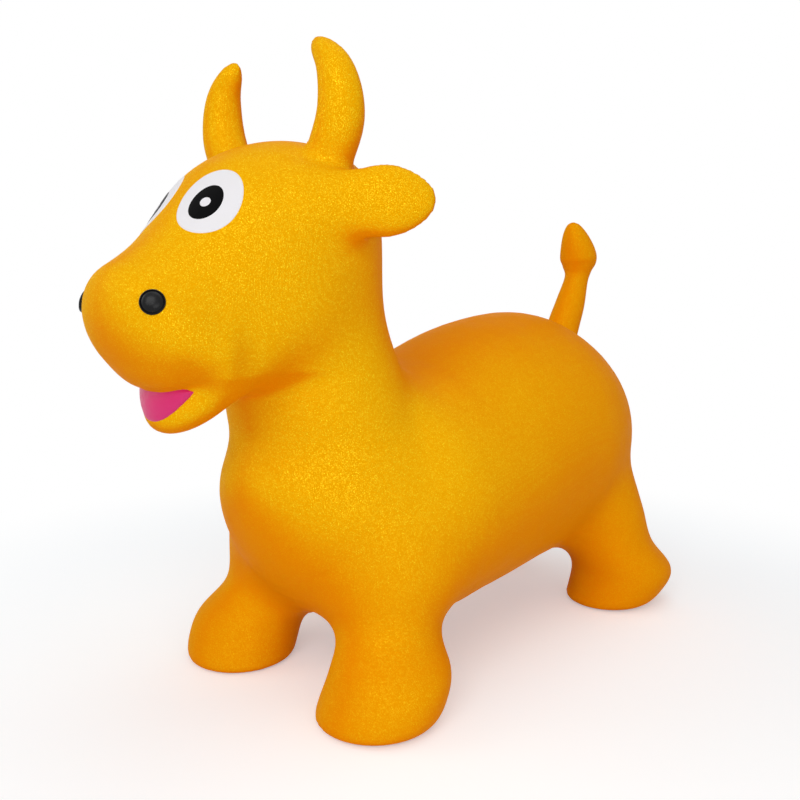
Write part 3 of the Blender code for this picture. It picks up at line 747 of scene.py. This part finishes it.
def close_opening(loop, coords, faces):
    """Shut an opening a little way inside, or as deep as the valve's well where the valve goes."""
    centre = sum((coords[v] for v in loop), Vector()) / len(loop)
    inward = Vector()
    for a, b in zip(loop, loop[1:] + loop[:1]):
        inward += (coords[a] - centre).cross(coords[b] - centre)
    inward.normalize()
    depth = VALVE_WELL_DEPTH if (centre - VALVE).length < VALVE_NEARNESS else CAP_DEPTH
    inner = []
    for v in loop:
        inner.append(len(coords))
        coords.append(coords[v].lerp(centre, CAP_INSET_SHARE) + inward * depth)
    middle = len(coords)
    coords.append(centre + inward * (depth + CAP_BULGE))
    for k in range(len(loop)):
        after = (k + 1) % len(loop)
        faces.append([loop[after], loop[k], inner[k], inner[after]])
        faces.append([inner[after], inner[k], middle])


def closed_piece(name, faces, points, normals, gold):
    """A closed mesh of some of the skin's faces, which keep the whole skin's smooth normals."""
    used = sorted({v for face in faces for v in face})
    index = {v: i for i, v in enumerate(used)}
    coords = [Vector(points[v]) for v in used]
    shape = [[index[v] for v in face] for face in faces]
    skin_count = len(shape)
    for loop in opening_loops(shape):
        close_opening(loop, coords, shape)
    mesh = bpy.data.meshes.new(name)
    mesh.from_pydata(coords, [], shape)
    mesh.polygons.foreach_set("use_smooth", [i < skin_count for i in range(len(shape))])
    own = []
    for i, face in enumerate(shape):
        own += [normals[used[v]] if i < skin_count else (0, 0, 0) for v in face]
    mesh.normals_split_custom_set(own)
    mesh.materials.append(gold)
    return add_object(name, mesh)


def dress_skin(surface, gold):
    sections = find_sections()
    number = surface.faces.layers.int.new("section")
    for i, section in enumerate(sections, 1):
        for face in cut_off(surface, section):
            face[number] = i
    surface.normal_update()
    surface.verts.index_update()
    points = [v.co.copy() for v in surface.verts]
    normals = [v.normal.copy() for v in surface.verts]
    groups = [[] for i in range(len(sections) + 1)]
    for face in surface.faces:
        if (face.calc_center_median() - VALVE).length > VALVE_OPENING_RADIUS:
            groups[face[number]].append([v.index for v in face.verts])
    torso = closed_piece("skin_torso", groups[0], points, normals, gold)
    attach(torso, "torso")
    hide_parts("torso_skin")
    for section, faces in zip(sections, groups[1:]):
        name = section.name
        piece = closed_piece("skin_" + name, faces, points, normals, gold)
        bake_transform(piece)
        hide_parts(name if name in frame["nodes"] else name + "_skin")


# The painted face


@dataclass
class Target:
    """A surface that rays can meet, with the normals, places and corners of its triangles."""

    tree: BVHTree
    normals: list
    places: list
    corners: list


def ray_target(surface):
    surface = surface.copy()
    bmesh.ops.triangulate(surface, faces=surface.faces)
    surface.normal_update()
    surface.verts.index_update()
    return Target(
        tree=BVHTree.FromBMesh(surface),
        normals=[v.normal.copy() for v in surface.verts],
        places=[v.co.copy() for v in surface.verts],
        corners=[[v.index for v in face.verts] for face in surface.faces],
    )


def skin_point(start, ahead, target):
    """Where a ray meets the skin, and the skin's smooth normal there."""
    place, _, face, _ = target.tree.ray_cast(start, ahead)
    a, b, c = (target.normals[v] for v in target.corners[face])
    p, q, r = (target.places[v] for v in target.corners[face])
    whole = (q - p).cross(r - p).length
    u = (q - place).cross(r - place).length / whole
    v = (r - place).cross(p - place).length / whole
    return place, (a * u + b * v + c * (1 - u - v)).normalized()


def film(name, rays, target, height, material):
    """A closed film of paint on the skin, where rows of rays meet it. The last row is its outline.

    The outline is rounded over, and height gives how far the film stands out at a place. Each
    corner's share of the way from the middle to the outline is kept as the UV map called rim.
    """
    rows = [[skin_point(start, ahead, target) for start, ahead in row] for row in rays]
    count = len(rows[0])
    last = len(rows) - 1
    tops, bases = [], []
    for k, row in enumerate(rows):
        rise = FILM_RIM_SHARES[min(last - k, len(FILM_RIM_SHARES) - 1)]
        tops.append([place + normal * (rise * height(place)) for place, normal in row])
        bases.append([place - normal * FILM_SINK for place, normal in row])
    coords, shape, shares = [], [], []
    for loops in (tops, bases):
        for k, loop in enumerate(loops):
            coords += loop
            shares += [k / last] * count
    base = len(rows) * count
    rim = last * count
    for k in range(last):
        a, b = k * count, (k + 1) * count
        for j in range(count):
            after = (j + 1) % count
            shape.append([a + j, b + j, b + after, a + after])
            shape.append([base + a + after, base + b + after, base + b + j, base + a + j])
    for j in range(count):
        after = (j + 1) % count
        shape.append([rim + j, base + rim + j, base + rim + after, rim + after])
    shape.append(list(range(count)))
    shape.append([base + j for j in reversed(range(count))])
    mesh = bpy.data.meshes.new(name)
    mesh.from_pydata(coords, [], shape)
    mesh.polygons.foreach_set("use_smooth", [True] * len(shape))
    layer = mesh.uv_layers.new(name="rim")
    values = [(shares[v], 0.0) for face in shape for v in face]
    layer.data.foreach_set("uv", np.array(values, np.float32).ravel())
    outward = bmesh.new()
    outward.from_mesh(mesh)
    bmesh.ops.recalc_face_normals(outward, faces=outward.faces)
    outward.to_mesh(mesh)
    outward.free()
    mesh.materials.append(material)
    return add_object(name, mesh)


def oval_rays(centre, ahead, size, slide, tilt):
    """Rays through rings of an ellipse, from outside the skin at the centre, square to ahead."""
    side = Vector((-ahead.y, ahead.x, 0)).normalized()
    up = ahead.cross(side)
    if up.z < 0:
        up, side = -up, -side
    middle = centre + side * slide[0] + up * slide[1]
    turns = [math.tau * j / OVAL_SEGMENTS for j in range(OVAL_SEGMENTS)]
    rows = []
    for share in OVAL_ROW_SHARES:
        row = []
        for turn in turns:
            out = side * (math.cos(turn) * size[0] / 2) + up * (math.sin(turn) * size[1] / 2)
            out = Matrix.Rotation(tilt, 3, ahead) @ out
            row.append((middle + out * share + ahead * RAY_START, -ahead))
        rows.append(row)
    return rows


def paint_eyes(target, white, pupil):
    for word, side in SIDES:
        centre = Vector(mirrored(EYE, side))
        ahead = Vector(mirrored(EYE_AHEAD, side)).normalized()
        for oval in EYE_OVALS:
            kind = oval.kind
            name = "%s_%s" % (word, kind)
            slide = (-side * oval.inwards, -oval.drop)
            rays = oval_rays(centre, ahead, (oval.width, oval.height), slide, -side * oval.tilt)
            paint = pupil if kind == "pupil" else white
            piece = film("painted_" + name, rays, target, lambda place: oval.rise, paint)
            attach(piece, "head")
            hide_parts(name)


def mouth_height(place):
    """The mouth's paint is thicker near the upper lip, so that it fills the crease."""
    swell = min(max((place.z - MOUTH_SWELL_HEIGHT) / MOUTH_SWELL_LENGTH, 0), 1)
    return MOUTH_RISE + MOUTH_SWELL * swell


def paint_mouth(jaw, pink):
    """The mouth is painted on the jaw alone, by rays from the front."""
    lower, upper = [], []
    for k in range(MOUTH_STEPS + 1):
        x = math.sin(math.pi / 2 * (2 * k / MOUTH_STEPS - 1))
        sag = MOUTH_DROP * (1 - abs(x) ** MOUTH_SQUARENESS)
        lower.append((MOUTH_HALF_WIDTH * x, MOUTH_CORNER_HEIGHT - sag))
        upper.append((MOUTH_HALF_WIDTH * x, MOUTH_CORNER_HEIGHT + MOUTH_UNDER_LIP * (1 - x * x)))
    outline = [Vector((x, -MOUTH_RAY_FORWARD, z)) for x, z in lower + upper[-2:0:-1]]
    middle = Vector((0, -MOUTH_RAY_FORWARD, MOUTH_MIDDLE_HEIGHT))
    back = Vector((0, 1, 0))
    rays = [[(middle.lerp(p, share), back) for p in outline] for share in MOUTH_ROW_SHARES]
    piece = film("painted_mouth", rays, jaw, mouth_height, pink)
    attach(piece, "head")
    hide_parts("mouth")


# Nostril beads and the valve


def turned(name, profile, centre, ahead, material):
    """A closed form: a profile of radii and heights in millimetres, turned about ahead."""
    side = ahead.orthogonal().normalized()
    up = ahead.cross(side)
    turns = [math.tau * j / TURNED_SEGMENTS for j in range(TURNED_SEGMENTS)]
    form = bmesh.new()
    loops = []
    for radius, height in profile:
        middle = centre + ahead * (height / MILLIMETRES)
        radius /= MILLIMETRES
        places = [middle]
        if radius > 0:
            places = []
            for turn in turns:
                out = side * (radius * math.cos(turn)) + up * (radius * math.sin(turn))
                places.append(middle + out)
        loops.append([form.verts.new(place) for place in places])
    for a, b in zip(loops, loops[1:]):
        for j in range(TURNED_SEGMENTS):
            after = (j + 1) % TURNED_SEGMENTS
            if len(a) == 1:
                form.faces.new((a[0], b[after], b[j]))
            elif len(b) == 1:
                form.faces.new((a[j], a[after], b[0]))
            else:
                form.faces.new((a[j], a[after], b[after], b[j]))
    bmesh.ops.recalc_face_normals(form, faces=form.faces)
    mesh = bpy.data.meshes.new(name)
    form.to_mesh(mesh)
    form.free()
    mesh.polygons.foreach_set("use_smooth", [True] * len(mesh.polygons))
    mesh.set_sharp_from_angle(angle=SHARP_ANGLE)
    mesh.materials.append(material)
    return add_object(name, mesh)


def set_nostrils(black):
    for word, side in SIDES:
        centre = Vector(mirrored(NOSTRIL, side))
        ahead = Vector(mirrored(NOSTRIL_AHEAD, side)).normalized()
        piece = turned("bead_%s_nostril" % word, BEAD_PROFILE, centre, ahead, black)
        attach(piece, "head")
        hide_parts("%s_nostril" % word)


def fit_valve(clear):
    down = Vector((0, 0, -1))
    parts = (("valve_seat", SEAT_PROFILE, "torso"), ("valve_plug", PLUG_PROFILE, "plug"))
    for name, profile, body in parts:
        piece = turned("moulded_" + name, profile, VALVE, down, clear)
        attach(piece, body)
        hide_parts(name)


# Materials. Clouds fade in between these two levels of a noise.

CLOUDS = (0.3, 0.7)


class Nodes:
    """A short way to write a material's nodes."""

    def __init__(self, name):
        self.material = bpy.data.materials.new(name)
        self.material.use_nodes = True
        self.tree = self.material.node_tree
        self.shader = self.tree.nodes["Principled BSDF"]
        self.place = self.add("ShaderNodeTexCoord").outputs["Object"]

    def add(self, kind, **settings):
        node = self.tree.nodes.new(kind)
        for key, value in settings.items():
            setattr(node, key, value)
        return node

    def put(self, socket, value):
        if isinstance(value, bpy.types.NodeSocket):
            self.tree.links.new(value, socket)
        else:
            socket.default_value = value

    def noise(self, per_metre, detail=2):
        node = self.add("ShaderNodeTexNoise")
        self.put(node.inputs["Vector"], self.place)
        self.put(node.inputs["Scale"], per_metre)
        self.put(node.inputs["Detail"], detail)
        return node.outputs["Fac"]

    def cells(self, per_metre):
        """Random cells: the distance from a cell's middle, and a random colour for each cell."""
        node = self.add("ShaderNodeTexVoronoi")
        self.put(node.inputs["Vector"], self.place)
        self.put(node.inputs["Scale"], per_metre)
        return node.outputs["Distance"], node.outputs["Color"]

    def parts(self, kind, value):
        """The three parts of a vector or a colour."""
        node = self.add(kind)
        self.put(node.inputs[0], value)
        return node.outputs

    def math(self, operation, a, b=0.0, c=0.0):
        node = self.add("ShaderNodeMath", operation=operation)
        for socket, value in zip(node.inputs, (a, b, c)):
            self.put(socket, value)
        return node.outputs[0]

    def times(self, a, b):
        return self.math("MULTIPLY", a, b)

    def weighed(self, *terms):
        """The sum of values that are each multiplied by a weight."""
        total = 0.0
        for value, weight in terms:
            total = self.math("MULTIPLY_ADD", value, weight, total)
        return total

    def vector(self, operation, a, b=None, scale=None):
        node = self.add("ShaderNodeVectorMath", operation=operation)
        self.put(node.inputs[0], a)
        if b is not None:
            self.put(node.inputs[1], b)
        if scale is not None:
            self.put(node.inputs[3], scale)
        return node.outputs[0]

    def spread(self, value, low, high, to_low=0.0, to_high=1.0):
        """A value that goes smoothly from to_low to to_high as another goes from low to high."""
        node = self.add("ShaderNodeMapRange", interpolation_type="SMOOTHSTEP")
        for socket, number in zip(node.inputs, (value, low, high, to_low, to_high)):
            self.put(socket, number)
        return node.outputs[0]

    def mix(self, factor, a, b):
        node = self.add("ShaderNodeMix", data_type="RGBA")
        self.put(node.inputs["Factor"], factor)
        self.put(node.inputs[6], a)
        self.put(node.inputs[7], b)
        return node.outputs[2]

    def bump(self, height, distance, normal=None):
        node = self.add("ShaderNodeBump")
        self.put(node.inputs["Height"], height)
        self.put(node.inputs["Distance"], distance)
        if normal is not None:
            self.put(node.inputs["Normal"], normal)
        return node.outputs[0]

    def give(self, **values):
        """Set inputs of the shader, whose names are written with _ for each space."""
        for name, value in values.items():
            self.put(self.shader.inputs[name.replace("_", " ")], value)


def rgb(red, green, blue):
    """A colour as it is seen, from 0 to 255, in the linear values of a shader."""
    linear = []
    for value in (red, green, blue):
        share = value / 255
        linear.append(((share + 0.055) / 1.055) ** 2.4 if value > 10 else share / 12.92)
    return (*linear, 1)


# Gold PVC with painted light. The tone is yellower and the flakes denser where the surface faces
# forward, up and outward, and at the upper front. Painted shade gives a deeper orange with fewer flakes
# at the rump, on the back-facing side and towards the feet. Each fade runs from its first place, where
# there is less painted light and fewer flakes, to its second.

# GOLD_DEEP is the orange of the PVC and also its painted shade. The next colour is the yellower painted
# lit tone.
GOLD_DEEP = rgb(243, 140, 0)
GOLD_PAINTED_LIT = rgb(246, 174, 3)
GOLD_MOTTLE = rgb(246, 178, 6)
GOLD_FLAKE = rgb(254, 222, 40)
GOLD_TINT = (1.0, 0.55, 0.05, 1.0)
GOLD_GLOSS = 0.03
GOLD_IOR = 1.3
GOLD_ROUGHNESS = (0.50, 0.58)
FRONT_FADE = (0.0, -0.10)
NECK_FADE = (0.13, 0.22)
RUMP_FADE = (0.18, 0.02)
FEET_FADE = (0.05, 0.20)
RUMP_SHARE = 0.4
FEET_SHARE = 0.55
FRONT_WEIGHT = 0.22
OUTWARD_WEIGHT = 0.65
BACKWARD_WEIGHT = -0.5
UPWARD_WEIGHT = 0.3
CLOUD_WEIGHT = 0.3
# The levels between which the painted light fades in
PAINTED_LIT_LEVELS = (0.66, 1.10)
MOTTLE_SHARE = 0.15
FINE_FLAKE_SHARE = 0.55
SHADED_FLAKES_SHARE = 0.25
FLAKE_METAL = 0.5
FLAKE_POLISH = 0.16
FLAKE_TILT = 0.40
GRAIN_DEPTH = 0.00004
DENT_DEPTH = 0.0006


@dataclass
class Flakes:
    """Flakes in random cells: how many, where they end in a cell, and which draws give a flake."""

    per_metre: int
    edge: tuple
    channel: int
    draws: tuple


FINE_FLAKES = Flakes(per_metre=1400, edge=(0.34, 0.60), channel=0, draws=(0.35, 0.65))
SPARSE_FLAKES = Flakes(per_metre=780, edge=(0.20, 0.36), channel=1, draws=(0.70, 0.78))


def gold_painted_light(nodes, normal):
    """Painted light as a share, with random clouds in it. It is high where the surface faces forward,
    up and outward and at the upper front, and low as painted shade at the rump and the feet.
    """
    facing_x, facing_y, facing_z = nodes.parts("ShaderNodeSeparateXYZ", normal)
    _, y, z = nodes.parts("ShaderNodeSeparateXYZ", nodes.place)
    painted_lit = nodes.weighed(
        (nodes.times(nodes.spread(y, *FRONT_FADE), nodes.spread(z, *NECK_FADE)), FRONT_WEIGHT),
        (nodes.math("ABSOLUTE", facing_x), OUTWARD_WEIGHT),
        (facing_y, BACKWARD_WEIGHT),
        (facing_z, UPWARD_WEIGHT),
        (nodes.noise(per_metre=7, detail=3), CLOUD_WEIGHT),
    )
    # Painted shade: the painted light fades out towards the rump, and down towards the feet
    painted_lit = nodes.times(nodes.spread(painted_lit, *PAINTED_LIT_LEVELS), nodes.spread(y, *RUMP_FADE, RUMP_SHARE, 1.0))
    return nodes.times(painted_lit, nodes.spread(z, *FEET_FADE, FEET_SHARE, 1.0))


def flakes_of(nodes, kind):
    """Where the flakes of a kind are, and the random colours of all their cells."""
    distance, colour = nodes.cells(kind.per_metre)
    draw = nodes.parts("ShaderNodeSeparateColor", colour)[kind.channel]
    round_ones = nodes.spread(distance, *kind.edge, 1.0, 0.0)
    return nodes.times(round_ones, nodes.spread(draw, *kind.draws)), colour


def gold_material():
    """Satin orange PVC with gold flakes, dense fine ones and sparse bright ones. Painted light makes
    the tone yellower and the flakes more where the surface faces the light, and painted shade makes it
    deeper orange with fewer flakes.
    """
    nodes = Nodes("gold_glitter_pvc")
    normal = nodes.add("ShaderNodeNewGeometry").outputs["Normal"]
    painted_lit = gold_painted_light(nodes, normal)
    fine, colour = flakes_of(nodes, FINE_FLAKES)
    sparse, _ = flakes_of(nodes, SPARSE_FLAKES)
    # Painted highlight: more flakes show where there is painted light, and only a least share of them
    # in painted shade
    lit_flake_amount = nodes.math("MULTIPLY_ADD", painted_lit, 1 - SHADED_FLAKES_SHARE, SHADED_FLAKES_SHARE)
    flakes = nodes.math("MAXIMUM", nodes.times(fine, FINE_FLAKE_SHARE), sparse)
    flakes = nodes.times(flakes, lit_flake_amount)
    # Painted light and shade: yellower where the surface faces the light, deeper orange where it faces
    # away
    tone = nodes.mix(painted_lit, GOLD_DEEP, GOLD_PAINTED_LIT)
    tone = nodes.mix(nodes.times(nodes.noise(per_metre=220), MOTTLE_SHARE), tone, GOLD_MOTTLE)
    nodes.give(Base_Color=nodes.mix(flakes, tone, GOLD_FLAKE))
    nodes.give(Metallic=nodes.times(flakes, FLAKE_METAL))
    worn = nodes.spread(nodes.noise(per_metre=60, detail=3), *CLOUDS, *GOLD_ROUGHNESS)
    nodes.give(Roughness=nodes.math("SUBTRACT", worn, nodes.times(flakes, FLAKE_POLISH)))
    tilt = nodes.vector("SUBTRACT", colour, (0.5, 0.5, 0.5))
    tilt = nodes.vector("SCALE", tilt, scale=nodes.times(flakes, FLAKE_TILT))
    tilted = nodes.vector("NORMALIZE", nodes.vector("ADD", normal, tilt))
    grain = nodes.bump(nodes.noise(per_metre=700), GRAIN_DEPTH, tilted)
    nodes.give(Normal=nodes.bump(nodes.noise(per_metre=22), DENT_DEPTH, grain))
    nodes.give(Specular_Tint=GOLD_TINT, Specular_IOR_Level=GOLD_GLOSS, IOR=GOLD_IOR)
    return nodes.material


# Paints

RIM_START_SHARE = 0.965
STREAK_SHARE = 0.35
STREAK_TONE_SHARE = 0.25
PAINT_SMOOTHER = 0.05
PAINT_ROUGHER = 0.07
PEEL_DEPTH = 0.00005


def paint_material(name, colour, rim, roughness, gloss):
    """Brushed-on satin paint: faint streaks, a thinner rim, and a soft orange peel."""
    nodes = Nodes(name)
    share = nodes.parts("ShaderNodeSeparateXYZ", nodes.add("ShaderNodeTexCoord").outputs["UV"])[0]
    edge = nodes.spread(share, RIM_START_SHARE, 1.0)
    streaks = nodes.times(nodes.noise(per_metre=140, detail=3), STREAK_SHARE)
    tone = nodes.mix(STREAK_TONE_SHARE, colour, nodes.mix(streaks, colour, rim))
    nodes.give(Base_Color=nodes.mix(edge, tone, rim))
    worn = nodes.spread(
        nodes.noise(per_metre=300), *CLOUDS, roughness - PAINT_SMOOTHER, roughness + PAINT_ROUGHER
    )
    nodes.give(Roughness=worn)
    nodes.give(Normal=nodes.bump(nodes.noise(per_metre=450, detail=3), PEEL_DEPTH))
    nodes.give(Specular_IOR_Level=gloss)
    return nodes.material


def white_material():
    colour, rim = rgb(240, 238, 242), rgb(240, 226, 190)
    return paint_material("white_paint", colour, rim, roughness=0.45, gloss=0.3)


def pupil_material():
    colour, rim = rgb(9, 9, 10), rgb(18, 17, 18)
    return paint_material("pupil_paint", colour, rim, roughness=0.36, gloss=0.03)


def black_material():
    colour, rim = rgb(10, 10, 12), rgb(18, 17, 18)
    return paint_material("black_paint", colour, rim, roughness=0.28, gloss=0.2)


def pink_material():
    colour, rim = rgb(220, 34, 114), rgb(200, 28, 92)
    return paint_material("pink_paint", colour, rim, roughness=0.36, gloss=0.4)


# Valve PVC

AMBER_DARK = rgb(214, 140, 20)
AMBER_LIGHT = rgb(236, 170, 50)
AMBER_ROUGHNESS = (0.28, 0.38)
AMBER_GLOSS = 0.2
AMBER_CLEAR_SHARE = 0.2
AMBER_LIGHT_RADIUS = (1.0, 0.4, 0.1)
AMBER_LIGHT_DEPTH = 0.004


def valve_material():
    """Amber PVC that light enters a little way, with faint clouds and a fine grain."""
    nodes = Nodes("amber_valve_pvc")
    nodes.give(Base_Color=nodes.mix(nodes.noise(per_metre=150), AMBER_DARK, AMBER_LIGHT))
    nodes.give(Roughness=nodes.spread(nodes.noise(per_metre=400), *CLOUDS, *AMBER_ROUGHNESS))
    nodes.give(Normal=nodes.bump(nodes.noise(per_metre=900), GRAIN_DEPTH))
    nodes.give(Subsurface_Weight=AMBER_CLEAR_SHARE, Subsurface_Radius=AMBER_LIGHT_RADIUS)
    nodes.give(Subsurface_Scale=AMBER_LIGHT_DEPTH, Specular_IOR_Level=AMBER_GLOSS)
    return nodes.material


# Floor, light and camera


def mixed_by_ray(tree, seen, unseen):
    """One shader where the camera, gloss or clear plastic looks, and another for the light."""
    path = tree.nodes.new("ShaderNodeLightPath")
    seeing = path.outputs["Is Camera Ray"]
    for ray in ("Is Glossy Ray", "Is Transmission Ray"):
        either = tree.nodes.new("ShaderNodeMath")
        either.operation = "MAXIMUM"
        tree.links.new(seeing, either.inputs[0])
        tree.links.new(path.outputs[ray], either.inputs[1])
        seeing = either.outputs[0]
    return mixed(tree, seeing, unseen, seen)


def mixed(tree, factor, a, b):
    mix = tree.nodes.new("ShaderNodeMixShader")
    for socket, value in zip(mix.inputs, (factor, a, b)):
        tree.links.new(value, socket)
    return mix.outputs[0]


def glowing(tree, colour, strength):
    glow = tree.nodes.new("ShaderNodeEmission")
    glow.inputs["Color"].default_value = colour
    glow.inputs["Strength"].default_value = strength
    return glow.outputs[0]


def floor_material():
    """A pale floor that fades into plain white away from the animal, where it is seen."""
    material = bpy.data.materials.new("pale_floor")
    material.use_nodes = True
    tree = material.node_tree
    shader = tree.nodes["Principled BSDF"]
    shader.inputs["Base Color"].default_value = FLOOR_COLOUR
    shader.inputs["Roughness"].default_value = FLOOR_ROUGHNESS
    shader.inputs["Specular IOR Level"].default_value = 0.0
    near = tree.nodes.new("ShaderNodeAddShader")
    tree.links.new(shader.outputs[0], near.inputs[0])
    tree.links.new(glowing(tree, FLOOR_GLOW_COLOUR, FLOOR_GLOW), near.inputs[1])
    place = tree.nodes.new("ShaderNodeTexCoord")
    distance = tree.nodes.new("ShaderNodeVectorMath")
    distance.operation = "LENGTH"
    tree.links.new(place.outputs["Object"], distance.inputs[0])
    fade = tree.nodes.new("ShaderNodeMapRange")
    fade.interpolation_type = "SMOOTHSTEP"
    fade.inputs["From Min"].default_value = FLOOR_FADE_START
    fade.inputs["From Max"].default_value = FLOOR_FADE_END
    tree.links.new(distance.outputs["Value"], fade.inputs["Value"])
    seen = mixed(tree, fade.outputs[0], near.outputs[0], glowing(tree, WHITE, 1.0))
    out = mixed_by_ray(tree, seen, shader.outputs[0])
    tree.links.new(out, tree.nodes["Material Output"].inputs["Surface"])
    return material


def lay_floor():
    size = FLOOR_HALF_SIZE
    corners = [(-size, -size, 0), (size, -size, 0), (size, size, 0), (-size, size, 0)]
    mesh = bpy.data.meshes.new("floor")
    mesh.from_pydata(corners, [], [(0, 1, 2, 3)])
    mesh.materials.append(floor_material())
    floor = add_object("floor", mesh)
    floor.location.z = -FLOOR_DROP


def light_world():
    """A soft grey light all round, which is plain white where it is seen."""
    world = bpy.data.worlds.new("studio")
    bpy.context.scene.world = world
    world.use_nodes = True
    tree = world.node_tree
    light = tree.nodes["Background"]
    light.inputs["Color"].default_value = WORLD_COLOUR
    light.inputs["Strength"].default_value = WORLD_STRENGTH
    backdrop = tree.nodes.new("ShaderNodeBackground")
    backdrop.inputs["Color"].default_value = WHITE
    backdrop.inputs["Strength"].default_value = 1.0
    out = mixed_by_ray(tree, backdrop.outputs[0], light.outputs[0])
    tree.links.new(out, tree.nodes["World Output"].inputs["Surface"])


def hang_lamps():
    for name, place, size, power in LAMPS:
        data = bpy.data.lights.new(name, "AREA")
        data.size = size
        data.energy = power
        lamp = add_object(name, data)
        lamp.location = place
        lamp.rotation_mode = "QUATERNION"
        lamp.rotation_quaternion = (LAMP_TARGET - lamp.location).to_track_quat("-Z", "Y")


def set_camera():
    data = bpy.data.cameras.new("camera")
    data.sensor_width = CAMERA_SENSOR
    data.lens = CAMERA_LENS
    camera = add_object("camera", data)
    camera.location = CAMERA_PLACE
    level = math.cos(CAMERA_DOWN)
    across, back = -math.sin(CAMERA_TURN) * level, math.cos(CAMERA_TURN) * level
    ahead = Vector((across, back, -math.sin(CAMERA_DOWN)))
    camera.rotation_mode = "QUATERNION"
    camera.rotation_quaternion = ahead.to_track_quat("-Z", "Y")
    bpy.context.scene.camera = camera


# All of it


def dress():
    surface = skin_surface()
    target = ray_target(surface)
    dress_skin(surface, gold_material())
    paint_eyes(target, white_material(), pupil_material())
    paint_mouth(ray_target(surface_of(jaw_field())), pink_material())
    set_nostrils(black_material())
    fit_valve(valve_material())


set_camera()
dress()
lay_floor()
light_world()
hang_lamps()
bpy.context.scene.view_settings.view_transform = "Standard"
